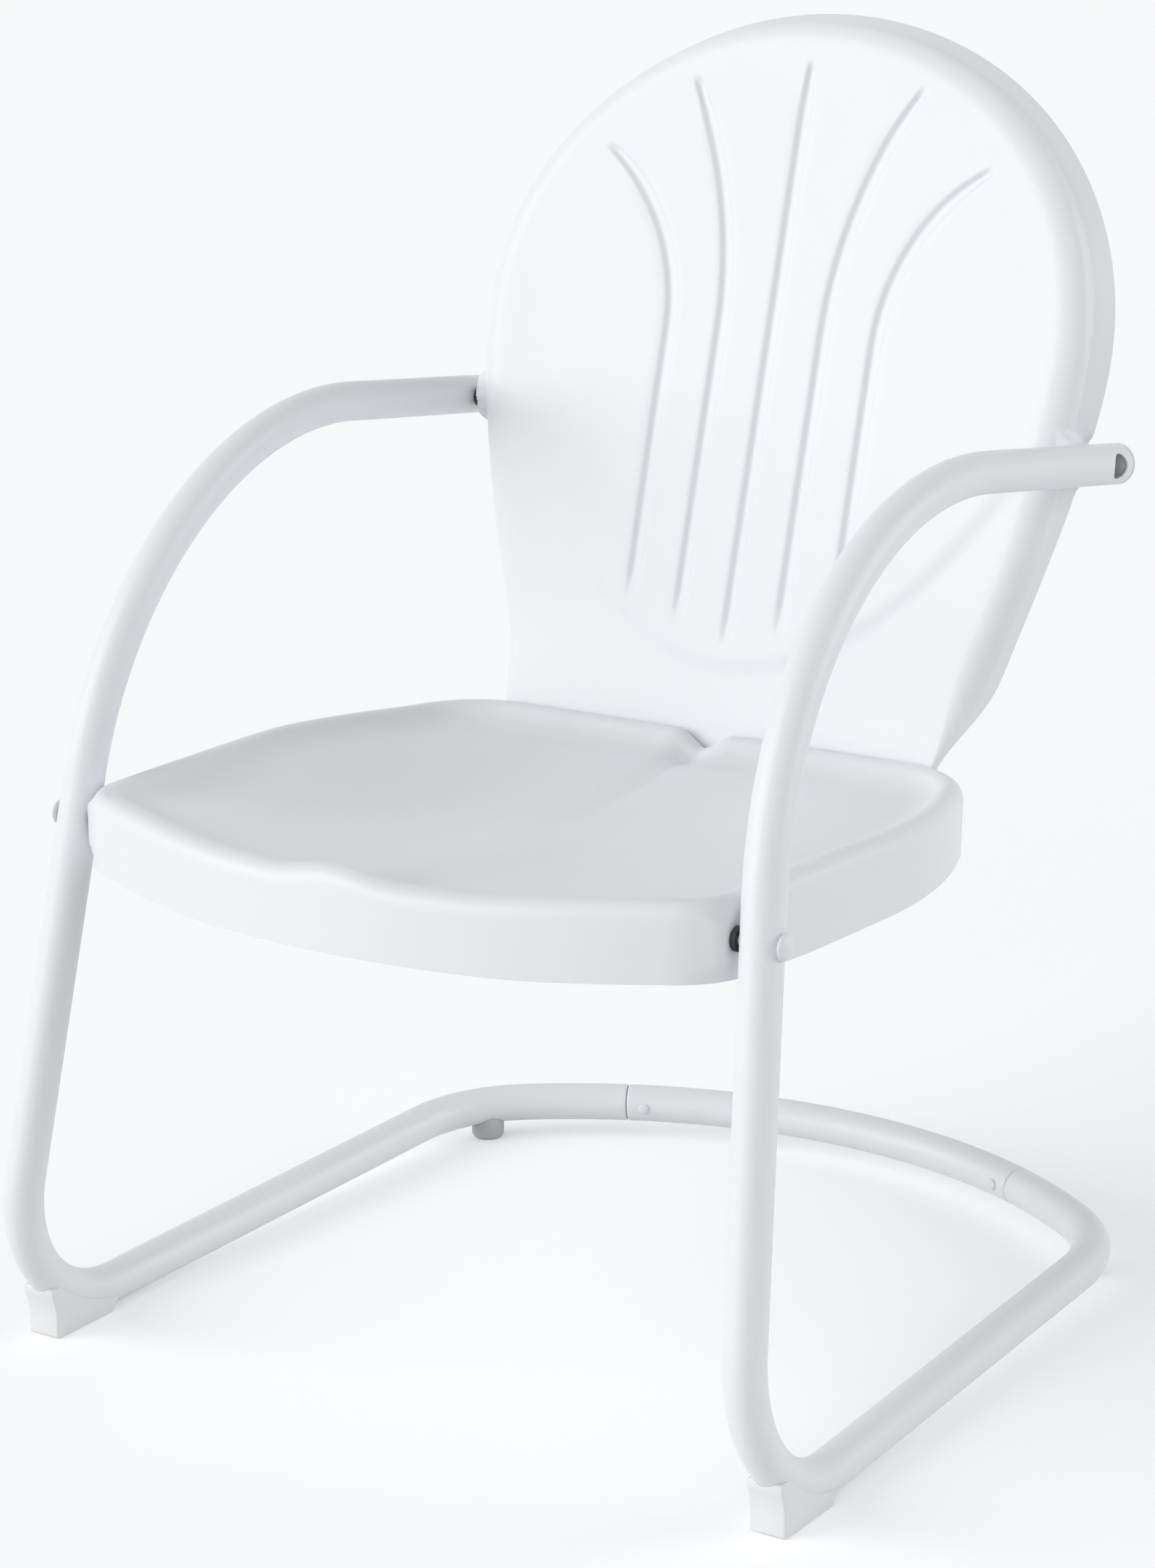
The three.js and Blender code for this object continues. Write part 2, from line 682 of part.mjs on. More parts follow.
// One point of the seat's rim section: inset from the outline, at a height.
function rimPoint(spot, inset, z) {
  const { point, ahead } = spot;
  const outward = new THREE.Vector3(-ahead.y, ahead.x, 0);
  const atFront = Math.max(0, -outward.y) ** 2 * nearFront(point.y);
  const atRear = Math.max(0, outward.y) ** 2 * nearRear(point.y);
  const front = (skirtBottom(seatFrontDepth) - z) * seatFrontRakeSlope;
  const rear = (z - rimReferenceHeight) * Math.tan(recline);
  const shift = atFront * front + atRear * rear;
  return offset(point, outward, shift - inset).setZ(z);
}

// The rim's section from the pan outwards over the bead and down the skirt.
function rimSection(spot) {
  const { x, y } = spot.point;
  const crest = rimHeight(x, y) - valley(x, y);
  const bead = (angle) => {
    const inset = beadRadius * (1 - Math.cos(angle));
    return rimPoint(spot, inset, crest - beadRadius * (1 - Math.sin(angle)));
  };
  const pan = rimPoint(spot, panInset, rimHeight(x, y) - panDepth - valley(x, y) * valleyPanShare);
  const lip = rimPoint(spot, lipWidth, rimHeight(x, y) - lipDrop - valley(x, y) * valleyPanShare);
  const beads = beadTurnShares.map((share) => bead(share * Math.PI));
  const top = beads.at(-1).z;
  const skirt = skirtRowShares.map((share) => rimPoint(spot, 0, lerp(top, skirtBottom(y), share)));
  return [pan, lip, ...beads, ...skirt];
}

// Presses the skirt out to a flat pad where the leg's bolt passes.
function pressPad(point, centre, span, reach) {
  const away = Math.max(Math.abs(point.y - centre.y), Math.abs(point.z - centre.z));
  const share = 1 - smooth(away, padRadius, padRadius + padBlend);
  if (Math.abs(point.x) < span - reach) return;
  point.x = Math.sign(point.x) * lerp(Math.abs(point.x), span, share);
}

// Distances round half the seat, from the middle of its rear to the middle of its front.
function seatHalfDistances() {
  const rear = seatRearColumnShares.map((share) => share * seatRearCornerDistance);
  const sideEnd = padRearAlong - padRadius;
  const side = [];
  for (let i = 1; i <= seatSideRowCount; i += 1) {
    side.push(lerp(seatRearCornerDistance, sideEnd, i / seatSideRowCount));
  }
  side.push(padRearAlong, seatBoltAlong, padFrontAlong);
  const fronts = [...seatFrontColumnShares].reverse();
  const front = fronts.map((share) => lerp(seatFrontMiddle, seatFrontCornerDistance, share));
  return { rear, side, front };
}

function seatShell() {
  const { rear, side, front } = seatHalfDistances();
  const columns = rear.length - 1;
  const half = [...rear, ...side, ...front].map((d) => rimSection(seatLine.at(d)));
  const rings = [...half, ...half.slice(1, -1).reverse().map((ring) => ring.map(toRight))];
  const points = rings.flat();
  const depth = rings[0].length;
  const ringPoint = (i, k) => ((i + rings.length) % rings.length) * depth + k;

  // The pan is blended across between the four sides of its border.
  const rowCount = side.length + 1;
  const panRow = (j) => {
    const row = [];
    for (let i = -columns; i <= columns; i += 1) {
      row.push(panPoint(i, j));
    }
    return row;
  };
  const rearAt = (i) => points[ringPoint(i, 0)];
  const frontAt = (i) => points[ringPoint(half.length - 1 - i, 0)];
  const leftAt = (j) => points[ringPoint(columns + j, 0)];
  const rightAt = (j) => points[ringPoint(-columns - j, 0)];
  function panPoint(i, j) {
    if (j === 0) return ringPoint(i, 0);
    if (j === rowCount) return ringPoint(half.length - 1 - i, 0);
    if (i === columns) return ringPoint(columns + j, 0);
    if (i === -columns) return ringPoint(-columns - j, 0);
    const a = (rearAt(i).x / rearAt(columns).x + 1) / 2;
    const b = (leftAt(0).y - leftAt(j).y) / (leftAt(0).y - leftAt(rowCount).y);
    const point = rearAt(i).clone().lerp(frontAt(i), b);
    point.add(rightAt(j).clone().lerp(leftAt(j), a));
    point.sub(rightAt(0).clone().lerp(leftAt(0), a).multiplyScalar(1 - b));
    point.sub(rightAt(rowCount).clone().lerp(leftAt(rowCount), a).multiplyScalar(b));
    const bowl = 16 * a * (1 - a) * b * (1 - b);
    const ridge = Math.exp(-(((a - 0.5) / ridgeWidthShare) ** 2)) * b;
    point.z -= thighHollowDepth * bowl * (1 - ridgeDepthShare * ridge);
    points.push(point);
    return points.length - 1;
  }
  const rows = Array.from({ length: rowCount + 1 }, (_, j) => panRow(j));
  const rim = [];
  for (let k = 0; k < depth; k += 1) {
    const loop = Array.from({ length: rings.length + 1 }, (_, i) => ringPoint(i, k));
    rim.push(loop);
  }
  const padFront = seatLine.at(padFrontAlong + padBlend).point;
  const reach = seatPadSpan - padFront.x + contactGap;
  for (const point of points) pressPad(point, seatBoltPoint, seatPadSpan, reach);
  const triangles = [...stitch(rows.reverse()), ...stitch(rim)];
  return { points, triangles };
}

// Back shell.
// A point across, up and behind the back's own plane.
const onBack = (u, v, w) => new THREE.Vector3(u, w, v);

// Cubic through a table of places and values.
function alongTable(place, places, values) {
  const last = places.length - 1;
  const found = places.findIndex((p) => p > place) - 1;
  const i = found < 0 ? (place < places[0] ? 0 : last - 1) : found;
  const slope = (k) => {
    const [low, high] = [Math.max(k - 1, 0), Math.min(k + 1, last)];
    return (values[high] - values[low]) / (places[high] - places[low]);
  };
  const span = places[i + 1] - places[i];
  const t = THREE.MathUtils.clamp((place - places[i]) / span, 0, 1);
  const rise = values[i + 1] - values[i];
  const bend = t * (1 - t) * ((1 - t) * (slope(i) * span - rise) - t * (slope(i + 1) * span - rise));
  return lerp(values[i], values[i + 1], t) + bend;
}

// The outline's side at a height: straight below, rounding into the waist, an ellipse above.
function sideSpot(v) {
  if (v > backWaistHeight) return crownSpot(Math.asin((v - backWaistHeight) / backCrownHeight));
  const fall = backSideSlope * (backWaistHeight - v);
  const eased = Math.hypot(backWaistEasing, fall);
  const slope = (backSideSlope * fall) / eased;
  const out = new THREE.Vector2(1, -slope).normalize();
  return { u: backHalfWidth - (eased - backWaistEasing), v, out };
}

function crownSpot(angle) {
  const u = backHalfWidth * Math.cos(angle);
  const v = backWaistHeight + backCrownHeight * Math.sin(angle);
  const out = new THREE.Vector2(Math.cos(angle) / backHalfWidth, Math.sin(angle) / backCrownHeight);
  return { u, v, out: out.normalize() };
}

const taper = (v) => smooth(v, flangeTaperFoot, flangeTaperTop);
const rollAt = (v) => lerp(footRollRadius, rollRadius, taper(v));
const flangeAt = (v) => lerp(footFlangeDepth, flangeDepth, taper(v));

// How far behind the plane the plate lies: its dish and the step round the fluted panel.
function plateOffset(u, v) {
  const edge = sideSpot(Math.min(v, backWaistHeight)).u;
  const dish = dishDepth * alongTable(v / dishHeight, dishHeightShares, dishDepthShares);
  const boundary = scallopHeight + (u * u) / (2 * scallopCurveRadius);
  const panel = smooth(v, boundary, boundary + panelStepWidth);
  return dish * Math.min(1, Math.abs(u) / edge) ** 2 - panelStep * panel;
}

function insetSpot(spot) {
  const inset = rollAt(spot.v);
  return new THREE.Vector2(spot.u - spot.out.x * inset, spot.v - spot.out.y * inset);
}

// The edge's section from the plate round the roll and along the flange.
function edgeSection(spot) {
  const radius = rollAt(spot.v);
  const start = insetSpot(spot);
  const w = plateOffset(start.x, start.y);
  const at = (out, back) => onBack(start.x + spot.out.x * out, start.y + spot.out.y * out, w + back);
  const turns = flangeTurnShares.map((share) => share * Math.PI / 2);
  const roll = turns.map((a) => at(radius * Math.sin(a), radius * (1 - Math.cos(a))));
  const end = flangeAt(spot.v);
  return [at(0, 0), ...roll, at(radius, (radius + end) / 2), at(radius, end)];
}

// A flute's middle line: straight up, then bending outwards.
function fluteGuide(across, foot, top, bendStart, radius) {
  const place = (v) => {
    const rise = Math.max(0, v - bendStart);
    const level = Math.sqrt(radius * radius - rise * rise);
    return { u: across + radius - level, v, slope: rise / level };
  };
  return { foot, top, place };
}

const fluteGuides = [
  fluteGuide(0, middleFluteFoot, middleFluteTop, middleFluteTop, innerFluteRadius),
  fluteGuide(fluteSpacing, innerFluteFoot, innerFluteTop, innerFluteBendStart, innerFluteRadius),
  fluteGuide(2 * fluteSpacing, outerFluteFoot, outerFluteTop, outerFluteBendStart, outerFluteRadius),
];

// Where a flute's line would meet the crown if it went straight on.
function crownAngle(guide) {
  const end = guide.place(guide.top);
  let angle = Math.PI / 2;
  for (let i = 0; i < searchSteps; i += 1) {
    const spot = insetSpot(crownSpot(angle));
    const target = end.u + (spot.y - end.v) * end.slope;
    angle += (spot.x - target) / backHalfWidth / 2;
  }
  return angle;
}

// The columns of the plate's right half, each between two guides or beside one.
function backColumns() {
  const beside = [-fluteHalfWidth, -fluteFloorHalfWidth, 0, fluteFloorHalfWidth, fluteHalfWidth];
  const columns = [];
  fluteGuides.forEach((_, k) => {
    if (k > 0) columns.push({ from: k - 1, to: k, mix: 0.5, shift: 0 });
    for (const shift of beside) {
      if (k > 0 || shift >= 0) columns.push({ from: k, to: k, mix: 0, shift });
    }
  });
  for (const mix of edgeColumnShares) columns.push({ from: 2, to: 3, mix, shift: 0 });
  return columns;
}

const armPadV = (armBoltPoint.z - backPlateHeight) * Math.cos(recline)
  + (armBoltPoint.y - backPlateDepth) * Math.sin(recline);
const armPadW = (armBoltPoint.y - backPlateDepth) * Math.cos(recline)
  - (armBoltPoint.z - backPlateHeight) * Math.sin(recline);

// Rows up the back: below, along and above the flutes.
function backRows() {
  const padShare = (v) => (v - edgeRowFoot) / (edgeRowTop - edgeRowFoot);
  const padRows = [armPadV - padRadius, armPadV, armPadV + padRadius].map(padShare);
  const fluteRows = [...fluteLowRowShares, ...padRows, ...fluteHighRowShares];
  return [
    ...pressRowShares.slice(0, -1).map((share) => ({ zone: 0, share })),
    ...fluteRows.map((share) => ({ zone: 1, share })),
    ...crownRowShares.map((share) => ({ zone: 2, share })),
  ];
}

function backShell() {
  const columns = backColumns();
  const rows = backRows();
  const angles = fluteGuides.map(crownAngle);
  angles.push(backShoulderAngle);
  const shoulder = crownSpot(backShoulderAngle).v;

  // Height of the plate's edge in a row.
  const edgeHeight = ({ zone, share }) => {
    const marks = [-backFootDrop, edgeRowFoot, edgeRowTop, shoulder];
    return lerp(marks[zone], marks[zone + 1], share);
  };
  const edgePlace = (row) => insetSpot(sideSpot(edgeHeight(row)));

  const guidePlace = (k, shift, row) => {
    if (k === fluteGuides.length) return edgePlace(row);
    const { foot, top, place } = fluteGuides[k];
    const marks = [-backFootDrop, foot, top, top];
    const spot = place(lerp(marks[row.zone], marks[row.zone + 1], row.share));
    const across = new THREE.Vector2(1, -spot.slope).normalize().multiplyScalar(shift);
    const here = new THREE.Vector2(spot.u, spot.v).add(across);
    if (row.zone < 2) return here;
    const angle = angles[k] - shift / backHalfWidth;
    return here.lerp(insetSpot(crownSpot(angle)), row.share);
  };

  const columnAngle = ({ from, to, mix, shift }) => {
    if (from === to) return angles[from] - shift / backHalfWidth;
    return lerp(angles[from], angles[to], mix);
  };

  const platePlace = (column, row) => {
    const { from, to, mix, shift } = column;
    if (from === to) return guidePlace(from, shift, row);
    const start = guidePlace(from, fluteHalfWidth, row);
    const end = guidePlace(to, to < fluteGuides.length ? -fluteHalfWidth : 0, row);
    const place = start.lerp(end, mix);
    if (row.zone < 2) return place;
    const goal = insetSpot(crownSpot(columnAngle(column)));
    return place.lerp(goal, row.share * row.share);
  };

  const fluteOffset = ({ from, to, shift }, { zone, share }) => {
    if (from !== to || zone !== 1) return 0;
    const across = 1 - smooth(Math.abs(shift), fluteFloorHalfWidth / 2, fluteHalfWidth);
    const ends = smooth(share, 0, fluteLowRowShares[1])
      * (1 - smooth(share, fluteHighRowShares.at(-2), 1));
    return fluteDepth * across * ends;
  };

  const points = [];
  const add = (point) => points.push(point) - 1;
  const platePoint = (column, row, side) => {
    const place = platePlace(column, row);
    const w = plateOffset(place.x, place.y) + fluteOffset(column, row);
    return add(onBack(side * place.x, place.y, w));
  };

  // Edge sections up the left side, over the crown and down the right side.
  const up = rows.map((row) => edgeSection(sideSpot(edgeHeight(row))));
  const over = [...columns].reverse().map((column) => edgeSection(crownSpot(columnAngle(column))));
  const leftHalf = [...up, ...over];
  const rightHalf = leftHalf.slice(0, -1).reverse().map((ring) => ring.map(toRight));
  const sections = [...leftHalf, ...rightHalf].map((section) => section.map(add));

  const grid = rows.map((row, j) => {
    const top = j === rows.length - 1;
    const wide = columns.length - 1;
    const cells = [sections.at(-1 - j)[0]];
    for (let i = -wide; i <= wide; i += 1) {
      const side = Math.sign(i) || 1;
      const overCrown = sections[rows.length + wide - i]?.[0];
      cells.push(top ? overCrown : platePoint(columns[Math.abs(i)], row, side));
    }
    cells.push(sections[j][0]);
    return cells;
  });
  const edge = sections[0].map((_, k) => sections.map((section) => section[k]));
  for (const point of points) pressPad(point, onBack(0, armPadV, armPadW), armPadSpan, padReach);
  return { points, triangles: [...stitch(grid), ...stitch(edge.reverse())] };
}

// Holes in the pressings.
const backBoltV = -backBoltDrop;
const backBoltSpans = [-backBoltOuterSpan, -backBoltInnerSpan, backBoltInnerSpan, backBoltOuterSpan];
const backPlane = new THREE.Matrix4().makeRotationX(-recline)
  .setPosition(0, backPlateDepth, backPlateHeight);

// A hole through the pad on each side, and through nothing behind it.
function cutPads(solid, centre, span) {
  const start = new THREE.Vector3(span - padReach, centre.y, centre.z);
  const hole = rod(start, X, 2 * padReach, boltHoleRadius);
  return solid.subtract(hole).subtract(toSolid(mirrored(toGeometry(hole))));
}

function cutBackBolts(solid, transform) {
  let result = solid;
  for (const u of backBoltSpans) {
    const start = onBack(u, backBoltV, -rollRadius);
    const cutter = toGeometry(rod(start, Y, 2 * rollRadius, boltHoleRadius));
    result = result.subtract(toSolid(cutter.applyMatrix4(transform)));
  }
  return result;
}

function seatGeometry() {
  const { points, triangles } = seatShell();
  const sheet = thicken(points, triangles, sheetGauge);
  const shell = cutPads(sheet, seatBoltPoint, seatPadSpan);
  return toGeometry(cutBackBolts(shell, backPlane));
}

function backGeometry() {
  const { points, triangles } = backShell();
  const pad = onBack(0, armPadV, armPadW);
  const shell = cutPads(thicken(points, triangles, sheetGauge), pad, armPadSpan);
  return toGeometry(cutBackBolts(shell, new THREE.Matrix4()));
}

// Bolts, spacers and nuts.
// A bolt with a domed head: the direction runs from the head along the shank.
function domedBolt(seat, direction, reach, headDiameter, headRise) {
  const head = headDiameter / 2;
  return toGeometry(turned(seat, direction, [
    [0, -headRise], [head * Math.SQRT1_2, -headRise * Math.SQRT1_2], [head, 0],
    [boltRadius, 0], [boltRadius, reach], [0, reach],
  ]));
}

function nut(seat, direction) {
  const outer = rod(seat, direction, nutThickness, nutAcrossCorners / 2, nutSides);
  const start = offset(seat, direction, -cutOverrun);
  return toGeometry(outer.subtract(rod(start, direction, nutThickness + 2 * cutOverrun, boltHoleRadius)));
}

// How far a flat disc square to X stands off a tube's side, because the tube leans.
function standOff(spot, radius) {
  const lean = Math.abs(spot.ahead.x);
  return tubeRadius + contactGap + (radius * lean) / Math.sqrt(1 - lean * lean);
}

function spacer(spot, padSpan) {
  const { point } = spot;
  const start = padSpan + contactGap;
  const length = point.x - standOff(spot, spacerDiameter / 2) - start;
  const seat = new THREE.Vector3(start, point.y, point.z);
  const outer = rod(seat, X, length, spacerDiameter / 2);
  const bore = rod(offset(seat, X, -cutOverrun), X, length + 2 * cutOverrun, boltHoleRadius);
  return toGeometry(outer.subtract(bore));
}

function seatBolt() {
  const seat = offset(seatBoltPoint, X, standOff(seatBoltSpot, boltHeadDiameter / 2));
  const nutEnd = seatPadSpan - sheetGauge - padSeatGap - nutThickness;
  return domedBolt(seat, inwards, seat.x - nutEnd + boltEndProud, boltHeadDiameter, boltHeadRise);
}

function armBolt() {
  const head = armHeadDiameter / 2;
  const inBore = Math.sqrt(boreApothem * boreApothem - head * head);
  const slack = standOff(armBoltSpot, head) - tubeRadius;
  const seat = offset(armBoltPoint, X, slack - inBore);
  const nutEnd = armPadSpan - sheetGauge - padSeatGap - nutThickness;
  return domedBolt(seat, inwards, seat.x - nutEnd + boltEndProud, armHeadDiameter, armHeadHeight);
}

function padNut(point, padSpan) {
  const seat = new THREE.Vector3(padSpan - sheetGauge - padSeatGap, point.y, point.z);
  return nut(seat, inwards);
}

// Assembly.
const chair = new THREE.Group();
const backGroup = new THREE.Group();
backGroup.position.set(0, backPlateDepth, backPlateHeight);
backGroup.rotation.x = -recline;
chair.add(backGroup);

function addPiece(group, name, geometry, look) {
  const mesh = new THREE.Mesh(geometry, new THREE.MeshStandardMaterial(look));
  mesh.name = name;
  group.add(mesh);
}

function addPair(name, geometry, look) {
  addPiece(chair, `${name}_left`, geometry, look);
  addPiece(chair, `${name}_right`, mirrored(geometry), look);
}

addPair('side_tube', sideTube(), paint);
addPiece(chair, 'rear_tube', rearTube(), paint);
addPair('seam_screw', seamScrew(), paint);
addPair('front_foot', frontFoot(), footPlastic);
addPair('rear_glide', rearGlide(), glidePlastic);
addPair('arm_plug', armPlug(), footPlastic);
addPiece(chair, 'seat_shell', seatGeometry(), paint);
addPiece(backGroup, 'back_shell', backGeometry(), paint);
addPair('seat_bolt', seatBolt(), paint);
addPair('seat_spacer', spacer(seatBoltSpot, seatPadSpan), zincSteel);
addPair('seat_nut', padNut(seatBoltPoint, seatPadSpan), zincSteel);
addPair('arm_bolt', armBolt(), zincSteel);
addPair('arm_spacer', spacer(armBoltSpot, armPadSpan), zincSteel);
addPair('arm_nut', padNut(armBoltPoint, armPadSpan), zincSteel);

backBoltSpans.forEach((u, i) => {
  const headSeat = onBack(u, backBoltV, sheetGauge + contactGap);
  const nutSeat = onBack(u, backBoltV, -sheetGauge - contactGap - padSeatGap);
  const reach = headSeat.y - nutSeat.y + nutThickness + boltEndProud;
  const forwards = Y.clone().negate();
  const bolt = domedBolt(headSeat, forwards, reach, backBoltHeadDiameter, backBoltHeadRise);
  addPiece(backGroup, `back_bolt_${i + 1}`, bolt, paint);
  addPiece(backGroup, `back_nut_${i + 1}`, nut(nutSeat, forwards), zincSteel);
});

// The origin is on the floor under the middle of the whole chair.
const root = new THREE.Group();
root.add(chair);
root.updateMatrixWorld(true);
const extent = new THREE.Box3().setFromObject(chair, true);
chair.position.y = -(extent.min.y + extent.max.y) / 2;

export default root;
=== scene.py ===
# %% [markdown]
# # A retro metal spring lawn chair
# The real chair is a pressed steel seat and a pressed steel back, bolted to a frame of bent
# steel tube. Everything is painted white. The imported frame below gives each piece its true
# place, so this script only makes finer surfaces and finishes on top of it.
# Sizes are written in millimetres, as a workshop drawing would have them, and MM turns them
# into Blender's metres.

# %% Load the frame
import math

import bmesh
import bpy
import numpy as np
from mathutils import Matrix, Vector


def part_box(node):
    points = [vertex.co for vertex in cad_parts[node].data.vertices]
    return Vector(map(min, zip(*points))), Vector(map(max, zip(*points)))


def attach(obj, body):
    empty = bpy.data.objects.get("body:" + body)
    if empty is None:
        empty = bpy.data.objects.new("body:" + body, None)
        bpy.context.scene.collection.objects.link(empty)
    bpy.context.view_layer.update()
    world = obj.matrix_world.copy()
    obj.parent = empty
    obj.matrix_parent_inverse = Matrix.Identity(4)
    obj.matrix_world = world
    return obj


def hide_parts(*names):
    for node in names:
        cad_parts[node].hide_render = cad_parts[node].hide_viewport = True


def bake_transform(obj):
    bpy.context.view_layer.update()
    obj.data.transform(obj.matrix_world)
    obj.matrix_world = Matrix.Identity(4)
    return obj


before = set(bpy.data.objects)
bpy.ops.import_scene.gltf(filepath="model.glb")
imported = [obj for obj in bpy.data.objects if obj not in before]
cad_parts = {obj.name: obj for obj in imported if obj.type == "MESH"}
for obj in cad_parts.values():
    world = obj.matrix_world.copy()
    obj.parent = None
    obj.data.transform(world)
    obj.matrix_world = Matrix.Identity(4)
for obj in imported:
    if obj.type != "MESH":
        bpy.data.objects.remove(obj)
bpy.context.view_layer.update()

MM = 0.001
print("nodes:", len(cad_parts))

# %% [markdown]
# The chair's drawing starts at the front of the floor bend, and the frame's origin is under
# the middle of the chair. One shift in Y joins the two. It is read from the frame's own box,
# so a changed frame moves the fine pieces too.

# %% Where the drawing lies in the frame
TUBE_RADIUS = 14.0
TUBE_WALL = 1.5
BOW_REAR_DEPTH = 607.8
rear_tube_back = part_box("rear_tube")[1][1] / MM
SHIFT_Y = rear_tube_back - (BOW_REAR_DEPTH + TUBE_RADIUS)
print("drawing to frame, Y shift in mm:", round(SHIFT_Y, 2))


def to_frame(points):
    """Drawing millimetres to frame metres."""
    moved = np.array(points, float).reshape(-1, 3)
    moved[:, 1] += SHIFT_Y
    return moved * MM


# %% [markdown]
# ## Camera
# The camera stands where the photographer stood: in front, to the sitter's left and a little
# above the arm rests, with a long lens. Its three axes were solved from the edges of the
# chair in the photograph. A long lens far away keeps upright lines nearly parallel.

# %% Camera at the photograph's angle
PHOTO_HEIGHT, FOCAL_PIXELS = 2243, 5988.0
CAMERA_PLACE = (1518.6, -1996.2, 1132.2)
CAMERA_RIGHT, CAMERA_BACK = (0.8301, 0.5575, -0.0112), (0.5398, -0.7985, 0.2666)


def new_object(name, data):
    """An object for some data, linked into the scene."""
    made = bpy.data.objects.new(name, data)
    bpy.context.collection.objects.link(made)
    return made


camera_data = bpy.data.cameras.new("photo_camera")
camera_data.sensor_width = 36.0
camera_data.lens = FOCAL_PIXELS / PHOTO_HEIGHT * camera_data.sensor_width
camera_data.clip_end = 50
camera = new_object("photo_camera", camera_data)
right_axis, back_axis = Vector(CAMERA_RIGHT).normalized(), Vector(CAMERA_BACK).normalized()
up_axis = back_axis.cross(right_axis).normalized()
right_axis = up_axis.cross(back_axis)
place = Vector(to_frame([CAMERA_PLACE])[0])
turn = Matrix((right_axis, up_axis, back_axis)).transposed().to_4x4()
camera.matrix_world = Matrix.Translation(place) @ turn
bpy.context.scene.camera = camera
print("lens:", round(camera_data.lens, 2), "mm")

# %% [markdown]
# ## Finishes
# Powder coat is never a perfect mirror. It has a fine orange peel, a slow change of gloss and
# a hint of tone. All three come from noise in Object coordinates, so they stay on the metal
# when the chair is seen from another side. The effect is one node group with its own sockets,
# and each material gives it other values: paint, plastic and zinc use the same group.

# %% Helpers for nodes
def feed(tree, socket, value):
    """Link a socket to another node's output, or set it to a plain value."""
    if isinstance(value, bpy.types.NodeSocket):
        tree.links.new(value, socket)
    else:
        socket.default_value = value


def new_node(tree, kind, **inputs):
    """A node with its named inputs fed; an underscore stands for a space in a name."""
    node = tree.nodes.new(kind)
    for name, value in inputs.items():
        feed(tree, node.inputs[name.replace("_", " ")], value)
    return node


def math_step(tree, operation, *values):
    step = tree.nodes.new("ShaderNodeMath")
    step.operation = operation
    for socket, value in zip(step.inputs, values):
        feed(tree, socket, value)
    return step.outputs[0]


def colour_mix(tree, factor, first, second):
    """Blend two colours. A Mix node takes them at inputs 6 and 7 and gives output 2."""
    mix = tree.nodes.new("ShaderNodeMix")
    mix.data_type = "RGBA"
    for index, value in ((0, factor), (6, first), (7, second)):
        feed(tree, mix.inputs[index], value)
    return mix.outputs[2]


# %% A node group for the skin of a surface
SLOW_NOISE, DUST_NOISE, PEEL_DEPTH = 9.0, 60.0, 0.0004
DUST_COLOUR, DUST_FROM, DUST_FULL = (0.62, 0.60, 0.56, 1), 0.4, 1.0


def surface_skin_group():
    group = bpy.data.node_groups.new("surface_skin", "ShaderNodeTree")
    for name, kind, value in (
        ("Colour", "Color", (0.8, 0.8, 0.8, 1)),
        ("Deeper Colour", "Color", (0.7, 0.7, 0.7, 1)),
        ("Roughness", "Float", 0.4),
        ("Gloss Change", "Float", 0.05),
        ("Grain Size", "Float", 600.0),
        ("Grain Height", "Float", 0.1),
        ("Dust", "Float", 0.1),
    ):
        socket = group.interface.new_socket(
            name=name, in_out="INPUT", socket_type="NodeSocket" + kind)
        socket.default_value = value
    for name, kind in (("Colour", "Color"), ("Roughness", "Float"), ("Normal", "Vector")):
        group.interface.new_socket(name=name, in_out="OUTPUT", socket_type="NodeSocket" + kind)
    given = group.nodes.new("NodeGroupInput").outputs
    place = group.nodes.new("ShaderNodeTexCoord").outputs["Object"]

    slow = new_node(
        group, "ShaderNodeTexNoise", Vector=place, Scale=SLOW_NOISE, Detail=3.0).outputs["Fac"]
    tone = colour_mix(group, slow, given["Colour"], given["Deeper Colour"])

    # Dust settles on what faces up.
    normal = group.nodes.new("ShaderNodeNewGeometry").outputs["Normal"]
    up = new_node(group, "ShaderNodeSeparateXYZ", Vector=normal).outputs["Z"]
    settled = new_node(
        group, "ShaderNodeMapRange", Value=up, From_Min=DUST_FROM, From_Max=DUST_FULL)
    specks = new_node(group, "ShaderNodeTexNoise", Vector=place, Scale=DUST_NOISE, Detail=6.0)
    amount = math_step(group, "MULTIPLY", settled.outputs["Result"], specks.outputs["Fac"])
    amount = math_step(group, "MULTIPLY", amount, given["Dust"])

    peel = new_node(
        group, "ShaderNodeTexNoise", Vector=place, Scale=given["Grain Size"], Detail=2.0)
    bump = new_node(
        group, "ShaderNodeBump", Height=peel.outputs["Fac"], Strength=given["Grain Height"],
        Distance=PEEL_DEPTH)
    new_node(
        group, "NodeGroupOutput", Colour=colour_mix(group, amount, tone, DUST_COLOUR),
        Roughness=math_step(
            group, "MULTIPLY_ADD", slow, given["Gloss Change"], given["Roughness"]),
        Normal=bump.outputs["Normal"])
    return group


surface_skin = surface_skin_group()


